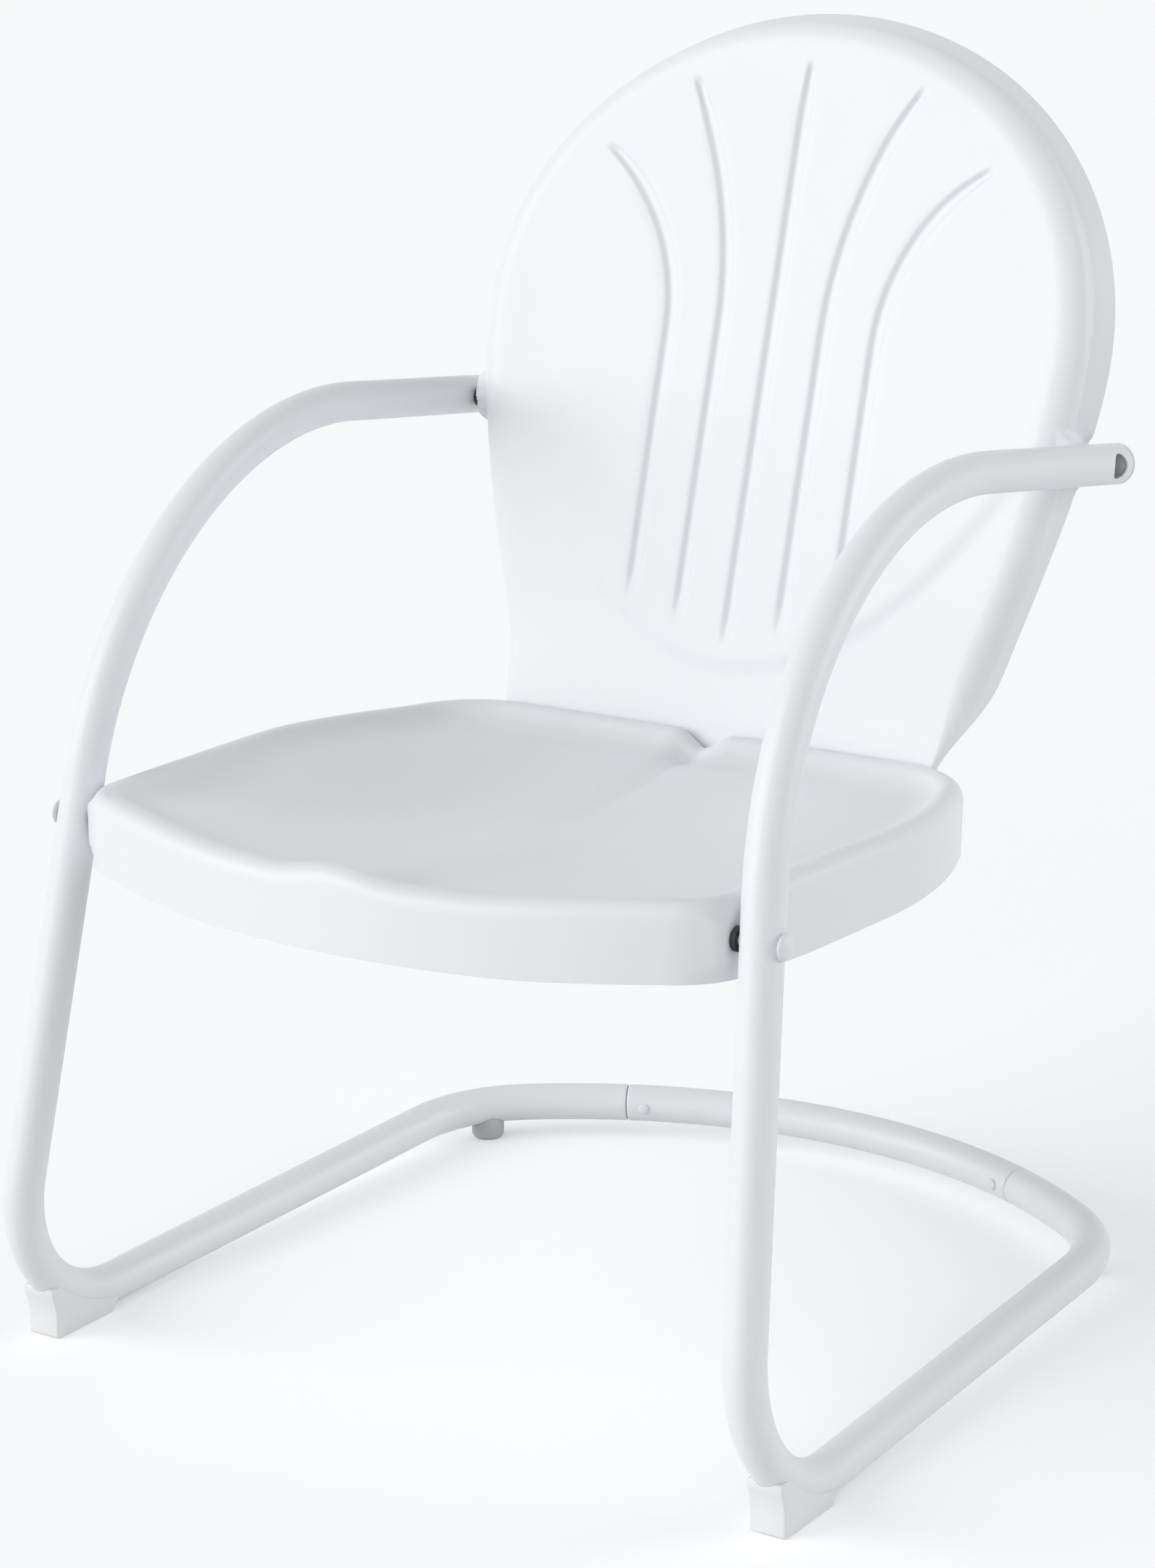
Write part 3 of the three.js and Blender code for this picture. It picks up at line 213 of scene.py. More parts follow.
def finish_material(name, colour, deeper, roughness, change, grain, height, dust, **constants):
    material = bpy.data.materials.new(name)
    material.use_nodes = True
    tree = material.node_tree
    skin = tree.nodes.new("ShaderNodeGroup")
    skin.node_tree = surface_skin
    for socket, value in (
        ("Colour", (*colour, 1)), ("Deeper Colour", (*deeper, 1)), ("Roughness", roughness),
        ("Gloss Change", change), ("Grain Size", grain), ("Grain Height", height),
        ("Dust", dust),
    ):
        skin.inputs[socket].default_value = value
    shader = tree.nodes["Principled BSDF"]
    tree.links.new(skin.outputs["Colour"], shader.inputs["Base Color"])
    tree.links.new(skin.outputs["Roughness"], shader.inputs["Roughness"])
    tree.links.new(skin.outputs["Normal"], shader.inputs["Normal"])
    for socket, value in constants.items():
        shader.inputs[socket.replace("_", " ")].default_value = value
    return material


# %% The finishes
white_paint = finish_material(
    "white_powder_coat", (0.845, 0.855, 0.875), (0.825, 0.836, 0.858),
    0.32, 0.06, 420.0, 0.10, 0.03, Specular_IOR_Level=0.4,
)
bolt_paint = finish_material(
    "painted_bolt", (0.83, 0.84, 0.86), (0.79, 0.80, 0.82),
    0.34, 0.08, 700.0, 0.15, 0.05,
)
shoe_plastic = finish_material(
    "soft_white_plastic", (0.84, 0.843, 0.85), (0.81, 0.812, 0.82),
    0.50, 0.10, 1500.0, 0.22, 0.10,
)
glide_plastic = finish_material(
    "pale_grey_plastic", (0.56, 0.57, 0.58), (0.50, 0.51, 0.52),
    0.48, 0.10, 1500.0, 0.22, 0.12,
)
zinc = finish_material(
    "zinc_plate", (0.66, 0.67, 0.69), (0.52, 0.53, 0.55),
    0.32, 0.18, 900.0, 0.20, 0.10, Metallic=1.0,
)
# Painted shade: a near-black finish for the spacers, which sit in the deep shade of the narrow
# gap between tube and sheet.
gap_shade_black = finish_material(
    "black_zinc_plate", (0.060, 0.062, 0.066), (0.035, 0.036, 0.040),
    0.42, 0.14, 900.0, 0.20, 0.12, Metallic=0.6,
)
finishes = (white_paint, bolt_paint, shoe_plastic, glide_plastic, zinc, gap_shade_black)
print("finishes:", [finish.name for finish in finishes])

# %% [markdown]
# ## Plain meshes
# Every fine piece ends as a plain mesh at the origin, with its place in its points. These
# helpers make one, bake its modifiers, and tell the frame what it stands for.

# %% Helpers for meshes
def mesh_object(name, points, faces, material):
    mesh = bpy.data.meshes.new(name)
    mesh.from_pydata(np.array(points).tolist(), [], [list(map(int, f)) for f in faces])
    mesh.validate()
    piece = new_object(name, mesh)
    mesh.materials.append(material)
    for polygon in mesh.polygons:
        polygon.use_smooth = True
    return piece


def bake(piece):
    """Turn an object with modifiers into a plain mesh."""
    graph = bpy.context.evaluated_depsgraph_get()
    graph.update()
    mesh = bpy.data.meshes.new_from_object(piece.evaluated_get(graph))
    old = piece.data
    piece.modifiers.clear()
    piece.data = mesh
    mesh.name = piece.name
    if old.users == 0:
        bpy.data.meshes.remove(old)
    return piece


def clean_normals(piece):
    """Join points that lie on each other and turn all faces outwards."""
    work = bmesh.new()
    work.from_mesh(piece.data)
    bmesh.ops.remove_doubles(work, verts=work.verts, dist=0.01 * MM)
    bmesh.ops.recalc_face_normals(work, faces=work.faces)
    work.to_mesh(piece.data)
    work.free()
    piece.data.update()
    return piece


def smooth_by_angle(piece, degrees):
    """Shade a piece smooth, but for edges that are sharper than an angle."""
    for polygon in piece.data.polygons:
        polygon.use_smooth = True
    work = bmesh.new()
    work.from_mesh(piece.data)
    limit = math.radians(degrees)
    for edge in work.edges:
        if len(edge.link_faces) == 2:
            edge.smooth = edge.calc_face_angle(0) < limit
    work.to_mesh(piece.data)
    work.free()
    return piece


def only_material(piece, material):
    piece.data.materials.clear()
    piece.data.materials.append(material)
    for polygon in piece.data.polygons:
        polygon.material_index = 0


def stands_for(piece, slot, body, *nodes):
    """Hide the frame's nodes that a piece replaces and attach it to the body it rides on; slot is
    not used.
    """
    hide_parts(*nodes)
    if body:
        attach(piece, body)
    print(piece.name, "stands for", list(nodes), "-", len(piece.data.polygons), "faces")
    return piece


def mirrored_piece(piece, name):
    copy = piece.copy()
    copy.data = piece.data.copy()
    copy.name = copy.data.name = name
    bpy.context.collection.objects.link(copy)
    copy.data.transform(Matrix.Diagonal((-1, 1, 1, 1)))
    copy.data.flip_normals()
    return copy


# %% [markdown]
# ## Bent lines
# A tube bender works from straight lengths and bend radii. So does this class: it takes the
# corners where the straight runs would meet and rounds each one with its own radius. The
# same class draws the frame in space and the seat's outline on plan.

# %% A line with rounded corners
class BentLine:
    """Its pieces are straight runs, with even numbers, and bends between them, with odd ones."""

    def __init__(self, corners, radii):
        self.pieces, self.length = [], 0.0
        corners = [np.array(c, float) for c in corners]
        start = corners[0]
        for i, radius in enumerate(radii):
            ahead = corners[i + 1] - corners[i]
            onward = corners[i + 2] - corners[i + 1]
            ahead, onward = ahead / np.linalg.norm(ahead), onward / np.linalg.norm(onward)
            turn = math.acos(np.clip(ahead @ onward, -1, 1))
            reach = radius * math.tan(turn / 2)
            bend = corners[i + 1] - ahead * reach
            self._add(np.linalg.norm(bend - start), start, ahead, None, None)
            side = onward - ahead * math.cos(turn)
            self._add(radius * turn, bend, ahead, side / np.linalg.norm(side), radius)
            start = corners[i + 1] + onward * reach
        last = corners[-1] - start
        self._add(np.linalg.norm(last), start, last / np.linalg.norm(last), None, None)

    def _add(self, length, start, ahead, side, radius):
        self.pieces.append((self.length, length, start, ahead, side, radius))
        self.length += length

    def at(self, distance):
        """The point at a distance along the line, and the direction ahead."""
        for begin, length, start, ahead, side, radius in self.pieces:
            if distance <= begin + length:
                break
        d = distance - begin
        if radius is None:
            return start + ahead * d, ahead
        a = d / radius
        point = start + ahead * radius * math.sin(a) + side * radius * (1 - math.cos(a))
        return point, ahead * math.cos(a) + side * math.sin(a)

    def middle(self, index):
        return self.pieces[index][0] + self.pieces[index][1] / 2

    def where(self, axis, value, low, high):
        """The distance at which a coordinate has a value, found by halving."""
        rising = self.at(high)[0][axis] > self.at(low)[0][axis]
        for _ in range(50):
            half = (low + high) / 2
            if (self.at(half)[0][axis] < value) == rising:
                low = half
            else:
                high = half
        return low


def flip(point):
    return (-point[0], point[1], point[2])


def smooth(value, low, high):
    """From 0 to 1 between two limits, with a soft start and end."""
    t = np.clip((value - low) / (high - low), 0, 1)
    return t * t * (3 - 2 * t)


# %% [markdown]
# ## The frame tubes
# One side of the chair is a single tube: from the seam at the back of the floor it goes round
# the rear corner, forward, up through the floor bend and over into the arm. Geometry Nodes
# sweep a circle along the line, which is how the real tube comes to be: one section, one
# path. The tree takes the radius, the number of sides and the material as named inputs.

# %% The frame's line
BOW_RADIUS, BOW_HALF_ANGLE = 395.0, math.radians(37)
CORNER_RADIUS, CORNER_X, FLOOR_REAR_Z = 106.5, 280.1, 25.5
bow_apex = BOW_REAR_DEPTH + BOW_RADIUS / math.cos(BOW_HALF_ANGLE) - BOW_RADIUS
floor_rear = (CORNER_X, bow_apex - CORNER_X * math.tan(BOW_HALF_ANGLE), FLOOR_REAR_Z)
floor_front = (294.5, -22.9, 12.5)
arm_front, arm_splay, arm_end = (248, 104.7, 635.5), (255.6, 368, 601.6), (264.6, 512, 583.2)
frame_line = BentLine(
    [arm_end, arm_splay, arm_front, floor_front, floor_rear, (0, bow_apex, FLOOR_REAR_Z),
     flip(floor_rear), flip(floor_front)],
    [600, 264, 92, CORNER_RADIUS, BOW_RADIUS, CORNER_RADIUS],
)
LEG, FLOOR_BEND, RUNNER, REAR_CORNER, BOW = 4, 5, 6, 7, 9
BOW_MIDDLE = frame_line.middle(BOW)
SEAM_FROM_MIDDLE, SEAM_GAP = 177.2, 0.6
SEAM = BOW_MIDDLE - SEAM_FROM_MIDDLE
print("one side tube is", round(SEAM), "mm long")


# %% The sweep, as a Geometry Nodes tree
def geometry_tree(name, **inputs):
    """A tree with geometry in and out and some named inputs, and what its input node gives."""
    tree = bpy.data.node_groups.new(name, "GeometryNodeTree")
    tree.interface.new_socket(name="Geometry", in_out="INPUT", socket_type="NodeSocketGeometry")
    for socket, kind in inputs.items():
        tree.interface.new_socket(name=socket, in_out="INPUT", socket_type="NodeSocket" + kind)
    tree.interface.new_socket(name="Geometry", in_out="OUTPUT", socket_type="NodeSocketGeometry")
    return tree, tree.nodes.new("NodeGroupInput").outputs


def attribute(tree, name, kind):
    reader = new_node(tree, "GeometryNodeInputNamedAttribute", Name=name)
    reader.data_type = kind
    return reader.outputs["Attribute"]


def painted_output(tree, geometry, material):
    """The end that both trees share: instances made real, the material set, and out."""
    real = new_node(tree, "GeometryNodeRealizeInstances", Geometry=geometry)
    paint = new_node(
        tree, "GeometryNodeSetMaterial", Geometry=real.outputs["Geometry"], Material=material)
    new_node(tree, "NodeGroupOutput", Geometry=paint.outputs["Geometry"])
    return tree


def tube_tree():
    tree, given = geometry_tree(
        "tube_along_line", Radius="Float", Sides="Int", Material="Material")
    line = new_node(tree, "GeometryNodeMeshToCurve", Mesh=given["Geometry"])
    section = new_node(
        tree, "GeometryNodeCurvePrimitiveCircle", Resolution=given["Sides"],
        Radius=given["Radius"])
    skin = new_node(
        tree, "GeometryNodeCurveToMesh", Curve=line.outputs["Curve"],
        Profile_Curve=section.outputs["Curve"], Scale=attribute(tree, "swell", "FLOAT"))
    shade = new_node(tree, "GeometryNodeSetShadeSmooth", Geometry=skin.outputs["Mesh"])
    return painted_output(tree, shade.outputs["Geometry"], given["Material"])


TUBE_TREE = tube_tree()


def run_tree(piece, tree, **values):
    """Give a piece a tree's modifier with its inputs set, and bake it to a plain mesh."""
    modifier = piece.modifiers.new(tree.name, "NODES")
    modifier.node_group = tree
    for item in tree.interface.items_tree:
        if item.in_out == "INPUT" and item.name in values:
            modifier[item.identifier] = values[item.name]
    return bake(piece)


SWEEP_STEP, LIP_CURL = 5.0, 0.7


def swept_tube(name, line, start, end, radius, material, sides=40, lip=1.6):
    """A tube along a stretch of a line, its two ends rounded in by a small lip."""
    count = max(2, int((end - start) / SWEEP_STEP))
    ends = [0, 0.25 * lip, 0.6 * lip, lip]
    distances = np.concatenate([
        start + np.array(ends), np.linspace(start + 2 * lip, end - 2 * lip, count),
        end - np.array(ends[::-1]),
    ])
    points = to_frame([line.at(d)[0] for d in distances])
    near = np.minimum(distances - start, end - distances)
    inward = np.clip(1 - near / lip, 0, 1)
    swell = 1 - (1 - np.sqrt(np.clip(1 - inward ** 2, 0, 1))) * lip * LIP_CURL / radius
    mesh = bpy.data.meshes.new(name)
    mesh.from_pydata(points.tolist(), [(i, i + 1) for i in range(len(points) - 1)], [])
    mesh.attributes.new("swell", "FLOAT", "POINT").data.foreach_set("value", swell)
    piece = new_object(name, mesh)
    return run_tree(piece, TUBE_TREE, Radius=radius * MM, Sides=sides, Material=material)


def give_wall(piece, thickness):
    """Solidify a skin inwards to its wall."""
    clean_normals(piece)
    wall = piece.modifiers.new("wall", "SOLIDIFY")
    wall.thickness = thickness * MM
    wall.offset = -1
    wall.use_even_offset = True
    return bake(piece)


# %% [markdown]
# The tube is hollow. It shows at one place: the large access hole in the arm, through which
# the fitter reached the bolt that holds the back. A Boolean cuts it with a plain cylinder,
# and the Solidify wall gives the hole its real edge.

# %% Side tubes
ARM_BOLT_INSET, ACCESS_RADIUS, ACCESS_CUT = 17.5, 8.5, 30
ACROSS, TUBE_CREASE = (1, 0, 0), 40


def combine(piece, other, how):
    """Boolean one mesh with another, which is used up."""
    change = piece.modifiers.new("combine", "BOOLEAN")
    change.operation, change.solver, change.object = how, "EXACT", other
    bake(piece)
    bpy.data.objects.remove(other)
    return piece


def cut_with_cylinder(piece, point, axis, radius, length):
    """Take a cylinder that starts at a point out of a piece."""
    work = bmesh.new()
    bmesh.ops.create_cone(
        work, cap_ends=True, segments=48, radius1=radius * MM, radius2=radius * MM,
        depth=length * MM,
    )
    turn = Vector((0, 0, 1)).rotation_difference(Vector(axis)).to_matrix().to_4x4()
    middle = Vector(to_frame([point])[0]) + Vector(axis) * (length / 2 * MM)
    bmesh.ops.transform(work, matrix=Matrix.Translation(middle) @ turn, verts=work.verts)
    mesh = bpy.data.meshes.new("cutter")
    work.to_mesh(mesh)
    work.free()
    return combine(piece, new_object("cutter", mesh), "DIFFERENCE")


arm_bolt_point = frame_line.at(ARM_BOLT_INSET)[0]
side_tube_left = swept_tube(
    "side_tube_left_fine", frame_line, 0, SEAM, TUBE_RADIUS, white_paint)
give_wall(side_tube_left, TUBE_WALL)
cut_with_cylinder(side_tube_left, arm_bolt_point, ACROSS, ACCESS_RADIUS, ACCESS_CUT)
smooth_by_angle(side_tube_left, TUBE_CREASE)
side_tube_right = mirrored_piece(side_tube_left, "side_tube_right_fine")
for tube, node in ((side_tube_left, "side_tube_left"), (side_tube_right, "side_tube_right")):
    stands_for(tube, "tube_paint", None, node)
    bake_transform(tube)

# %% [markdown]
# The rear tube is a piece of its own, and its reduced ends are pushed into the side tubes. One
# sweep with a sudden change of radius would smear the step, so a thinner tube is swept on the
# same line, longer at both ends, and the two meshes are joined.

# %% Rear floor tube
SPIGOT_REACH, SPIGOT_RADIUS = 45, 11.5
rear_tube = swept_tube(
    "rear_tube_fine", frame_line, SEAM + SEAM_GAP, 2 * BOW_MIDDLE - SEAM - SEAM_GAP,
    TUBE_RADIUS, white_paint,
)
give_wall(rear_tube, TUBE_WALL)
spigots = swept_tube(
    "rear_spigots", frame_line, SEAM - SPIGOT_REACH, 2 * BOW_MIDDLE - SEAM + SPIGOT_REACH,
    SPIGOT_RADIUS, white_paint, sides=32,
)
give_wall(spigots, TUBE_WALL)
work = bmesh.new()
work.from_mesh(rear_tube.data)
work.from_mesh(spigots.data)
work.to_mesh(rear_tube.data)
work.free()
bpy.data.objects.remove(spigots)
smooth_by_angle(rear_tube, TUBE_CREASE)
stands_for(rear_tube, "tube_paint", "base", "rear_tube")

# %% [markdown]
# ## The seat
# The seat is one sheet, pressed in a die: a shallow pan with two thigh hollows, a beaded rim
# and a skirt. The rim is a section carried round the outline. The pan between is blended
# across from its four sides, as a patch, and then sunk. The sheet gets its real gauge with
# Solidify, so the skirt's lower edge shows its thickness.

# %% Seat outline and section
SHEET_GAUGE, PLATE_GAP, SHEET_CREASE = 1.2, 0.3, 50
RECLINE = math.radians(16.5)
PLATE_DEPTH, PLATE_HEIGHT = 418.7, 369.7
RIM_HEIGHT, REAR_DROP, FRONT_DROP = 388.0, 6.0, 6.0
RIM_AT = np.array([-40, 50, 120, 190, 250, 310, 365, 430])
RIM_RISE = np.array([6.0, 6.3, 5.2, 3.8, 1.6, -2.2, -5.2, -6.0])
BEAD = 10.5
SKIRT_FRONT, SKIRT_REAR, FRONT_EDGE = 340.0, 335.5, -33.0
PAN_INSET, PAN_DEPTH, BOWL_DEPTH = 47.0, 12.0, 20.0
rim_reference = RIM_HEIGHT - REAR_DROP - BEAD
seat_rear = PLATE_DEPTH + math.tan(RECLINE) * (rim_reference - PLATE_HEIGHT)
seat_rear -= PLATE_GAP / math.cos(RECLINE)
SWEEP_RADIUS, SWEEP_ANGLE, FRONT_CORNER_X = 520, math.radians(23), 249.0
front_apex = FRONT_EDGE + SWEEP_RADIUS - SWEEP_RADIUS / math.cos(SWEEP_ANGLE)
seat_corners = [
    (209.4, seat_rear, 0), (258.5, 286.8, 0),
    (FRONT_CORNER_X, front_apex + FRONT_CORNER_X * math.tan(SWEEP_ANGLE), 0),
]
seat_line = BentLine(
    [(0, seat_rear, 0), *seat_corners, (0, front_apex, 0), flip(seat_corners[2])],
    [70, 345, 49, SWEEP_RADIUS],
)
SEAT_REAR_CORNER, SEAT_FRONT_CORNER = seat_line.middle(1), seat_line.middle(5)
SEAT_FRONT_MIDDLE = seat_line.middle(7)
print("the seat's outline goes from", FRONT_EDGE, "to", round(seat_rear, 1), "mm")

# %% [markdown]
# The rim is not level. It is highest near the front corners, falls towards the back, and dips
# in front where the thighs lie. Its heights could be dragged by hand, which leaves small waves.
# A short table with a smooth curve through it says them in one place.

# %% Heights of rim and skirt
FRONT_ZONE, REAR_ZONE = 100, 90
THIGH_EASE, CORNER_ACROSS, CORNER_ALONG = (90, 240), (110, 245), (15, 150)
POMMEL_RISE, POMMEL_HALF = 6, 52
VALLEY_DEPTH, VALLEY_HALF, VALLEY_ROUND, VALLEY_START = 13, 20, 2.5, 230
CORNER_LIFT, SKIRT_LEAN = 4.5, 0.12


def cubic_table(place, places, values):
    """Read a table of values at places with a smooth curve through them."""
    i = int(np.clip(np.searchsorted(places, place, side="right") - 1, 0, len(places) - 2))

    def slope(k):
        low, high = max(k - 1, 0), min(k + 1, len(places) - 1)
        return (values[high] - values[low]) / (places[high] - places[low])

    span, rise = places[i + 1] - places[i], values[i + 1] - values[i]
    t = np.clip((place - places[i]) / span, 0, 1)
    bend = t * (1 - t) * ((1 - t) * (slope(i) * span - rise) - t * (slope(i + 1) * span - rise))
    return values[i] + rise * t + bend


def near_front(y):
    return 1 - smooth(y, FRONT_EDGE, FRONT_EDGE + FRONT_ZONE)


def near_rear(y):
    return smooth(y, seat_rear - REAR_ZONE, seat_rear)


def rim_height(x, y):
    """Highest near the front corners, lower to the back and where the thighs lie in front."""
    front = near_front(y)
    pommel = (1 - smooth(abs(x), 0, POMMEL_HALF)) * front
    rim = RIM_HEIGHT + cubic_table(y, RIM_AT, RIM_RISE)
    return rim - FRONT_DROP * front * (1 - smooth(abs(x), *THIGH_EASE)) + POMMEL_RISE * pommel


def valley(x, y):
    """The depth of the groove at the middle of the back, through which rain drains."""
    across = max(0.0, 1 - math.hypot(abs(x), VALLEY_ROUND) / VALLEY_HALF)
    return VALLEY_DEPTH * across * smooth(y, VALLEY_START, seat_rear)


def skirt_bottom(x, y):
    share = (y - FRONT_EDGE) / (seat_rear - FRONT_EDGE)
    corner_lift = smooth(abs(x), *CORNER_ACROSS) * (1 - smooth(y, *CORNER_ALONG))
    return SKIRT_FRONT + (SKIRT_REAR - SKIRT_FRONT) * share + CORNER_LIFT * corner_lift


def rim_point(spot, inset, z):
    """A section's point in space. In front the skirt leans out, behind it leans as the back."""
    point, ahead = spot
    outward = np.array((-ahead[1], ahead[0]))
    at_front = max(0, -outward[1]) ** 2 * near_front(point[1])
    at_rear = max(0, outward[1]) ** 2 * near_rear(point[1])
    shift = at_front * (SKIRT_FRONT - z) * SKIRT_LEAN
    shift += at_rear * (z - rim_reference) * math.tan(RECLINE)
    x, y = point[:2] + outward * (shift - inset)
    return (x, y, z)


# %% The section that is carried round the outline
BEAD_END = 135  # degrees that the bead turns before the pan begins
PAN_LEAVE, PAN_ARRIVE = np.array((22.0, -22.0)), np.array((34.0, -1.0))
VALLEY_IN_PAN = 0.35
PAN_STEPS, BEAD_STEPS, SKIRT_STEPS = 13, 15, 15


def rim_section(spot):
    """Inset and height pairs from the pan, over the bead and down the skirt."""
    x, y = spot[0][:2]
    rim, dip = rim_height(x, y), valley(x, y)
    crest = rim - dip
    bead_end = math.radians(BEAD_END)
    start = np.array((BEAD * (1 - math.cos(bead_end)), crest - BEAD * (1 - math.sin(bead_end))))
    goal = np.array((PAN_INSET, rim - PAN_DEPTH - dip * VALLEY_IN_PAN))
    profile = []
    # The curve leaves the bead steeply and comes into the pan nearly level.
    for t in np.linspace(1, 0, PAN_STEPS)[:-1]:
        a, b = t * t * (3 - 2 * t), 1 - t * t * (3 - 2 * t)
        c, d = t * (1 - t) ** 2, -t * t * (1 - t)
        profile.append(b * start + a * goal + c * PAN_LEAVE + d * PAN_ARRIVE)
    for angle in np.radians(np.linspace(BEAD_END, 0, BEAD_STEPS)):
        profile.append((BEAD * (1 - math.cos(angle)), crest - BEAD * (1 - math.sin(angle))))
    top = crest - BEAD
    for share in np.linspace(0, 1, SKIRT_STEPS)[1:]:
        profile.append((0, top + (skirt_bottom(x, y) - top) * share))
    return [rim_point(spot, inset, z) for inset, z in profile]


# %% [markdown]
# Where a bolt goes through, the press has left the sheet flat and square to the bolt. The pad
# could be a separate disc, but it is the same sheet, so the points near the bolt are moved
# into one plane and the points round them follow softly.

# %% Bolt pads pressed flat into skirt and flange
PAD_HALF, PAD_BLEND, PAD_REACH = 11.5, 8.0, 9.0
SEAT_PAD, ARM_PAD, SEAT_BOLT_HEIGHT = 249.0, 243.8, 369


def press_pad(points, centre_a, centre_b, axis_a, axis_b, span):
    """Move points near a bolt to a flat pad square to X, on both sides."""
    away = np.maximum(abs(points[:, axis_a] - centre_a), abs(points[:, axis_b] - centre_b))
    share = 1 - smooth(away, PAD_HALF, PAD_HALF + PAD_BLEND)
    across = abs(points[:, 0])
    share = np.where(across < span - PAD_REACH, 0, share)
    points[:, 0] = np.sign(points[:, 0]) * (across + (span - across) * share)


leg_start, leg_length = frame_line.pieces[LEG][:2]
seat_bolt_point, seat_bolt_ahead = frame_line.at(
    frame_line.where(2, SEAT_BOLT_HEIGHT, leg_start, leg_start + leg_length))
print("the seat's bolt crosses the leg at", np.round(seat_bolt_point, 1))

# %% [markdown]
# A pressed pan has no seams, so its surface may show none. It could be a height over a square
# grid, but that would meet the curved rim in a ragged edge. Here each pan point is blended
# from the four stretches of rim beside it, as in a Coons patch, and then sunk into the bowl.

# %% The pan as a patch
def grid_faces(rows):
    """Quads between rows of point numbers."""
    faces = []
    for low, high in zip(rows, rows[1:]):
        for i in range(len(low) - 1):
            faces.append((low[i], low[i + 1], high[i + 1], high[i]))
    return faces


PAN_COLUMNS, PAN_ROWS = 60, 96
BOWL_POWER, RIDGE_WIDTH, RIDGE_SHARE = 1.4, 0.16, 0.3


def seat_rings(half):
    """Rim sections round the outline, closer together near the middles of back and front."""
    centre_first = np.linspace(0, 1, half + 1) ** 1.25
    rear = centre_first * SEAT_REAR_CORNER
    side = np.linspace(SEAT_REAR_CORNER, SEAT_FRONT_CORNER, PAN_ROWS + 1)[1:-1]
    front = SEAT_FRONT_MIDDLE + (SEAT_FRONT_CORNER - SEAT_FRONT_MIDDLE) * centre_first[::-1]
    rings = [rim_section(seat_line.at(d)) for d in (*rear, *side, *front)]
    return rings + [[flip(p) for p in ring] for ring in rings[-2:0:-1]]


def seat_surface():
    half = PAN_COLUMNS // 2
    last = half + PAN_ROWS + half
    rings = seat_rings(half)
    total, depth = len(rings), len(rings[0])
    points = [p for ring in rings for p in ring]
    border = np.array([ring[0] for ring in rings])
    rear_left, rear_right = border[half], border[-half % total]
    front_left, front_right = border[half + PAN_ROWS], border[(-half - PAN_ROWS) % total]

    def number(i, k):
        return (i % total) * depth + k

    def pan_point(i, j):
        """Blend the four borders, take the corners off once, and sink the bowl."""
        rear, front = border[i % total], border[(last - i) % total]
        left, right = border[half + j], border[(-half - j) % total]
        a = (rear[0] / rear_left[0] + 1) / 2
        b = (rear_left[1] - left[1]) / (rear_left[1] - front_left[1])
        p = rear * (1 - b) + front * b + right * (1 - a) + left * a
        p = p - (rear_right * (1 - a) + rear_left * a) * (1 - b)
        p = p - (front_right * (1 - a) + front_left * a) * b
        bowl = (16 * a * (1 - a) * b * (1 - b)) ** BOWL_POWER
        ridge = math.exp(-(((a - 0.5) / RIDGE_WIDTH) ** 2)) * b
        return tuple(p - np.array((0, 0, BOWL_DEPTH * bowl * (1 - RIDGE_SHARE * ridge))))

    rows = []
    for j in range(PAN_ROWS + 1):
        row = []
        for i in range(-half, half + 1):
            if j == 0:
                row.append(number(i, 0))
            elif j == PAN_ROWS:
                row.append(number(last - i, 0))
            elif abs(i) == half:
                row.append(number(half + j if i > 0 else -half - j, 0))
            else:
                row.append(len(points))
                points.append(pan_point(i, j))
        rows.append(row)
    rim = [[number(i, k) for i in range(total + 1)] for k in range(depth)]
    points = np.array(points)
    press_pad(points, seat_bolt_point[1], seat_bolt_point[2], 1, 2, SEAT_PAD)
    return points, grid_faces(rows[::-1]) + grid_faces(rim)


# %% The whole seat
def sheet_piece(name, points, faces, material):
    """A surface as a sheet of its real gauge, which Solidify lays on the inner side."""
    piece = mesh_object(name, to_frame(points), faces, material)
    gauge_wall = piece.modifiers.new("gauge", "SOLIDIFY")
    gauge_wall.thickness = SHEET_GAUGE * MM
    gauge_wall.offset = -1
    return bake(piece)


seat_points, seat_faces = seat_surface()
seat = sheet_piece("seat_shell_fine", seat_points, seat_faces, white_paint)
smooth_by_angle(seat, SHEET_CREASE)
stands_for(seat, "sheet_paint", "upper", "seat_shell")

# %% [markdown]
# ## The back
# The back is the chair's face: a round-topped sheet with five flutes that fan out at the top,
# like a shell. Its edge rolls back into a flange. Its mesh is laid out so that its columns run
# along the flutes, because a groove that crosses the mesh at an angle would look ragged.

# %% Sizes and outline of the back
HALF_WIDTH, WAIST, CROWN = 252.5, 300.0, 226.0
FOOT_DROP, SIDE_SLOPE, WAIST_EASE = 33.0, 0.345, 30.0
SHOULDER = math.radians(17)
ROLL, FLANGE, FLARE = 19.0, 32.0, 9.0
SOFT_RADIUS, TIGHT_RADIUS = 25.0, 12.5
SOFT_TURN, FULL_TURN = math.radians(35), math.radians(98)
SOFT_STEPS, TIGHT_STEPS = 6, 12
FOOT_ROLL, FOOT_FLANGE = 3, 4.5
PANEL_FOOT, PANEL_RADIUS, PANEL_EASE, PANEL_STEP = 50, 139, 14, 2
DISH_SPAN, DISH_DEPTH = 522, 8.0
DISH_AT = np.array([-0.1, 0, 0.03, 0.115, 0.23, 0.345, 0.46, 0.69, 0.805, 0.862, 0.92, 1.1])
DISH_AT = DISH_AT * DISH_SPAN
DISH = np.array([0, 0, 0, 0.85, 0.25, -0.37, -1, -1.05, -0.75, -0.37, 0, 0]) * DISH_DEPTH


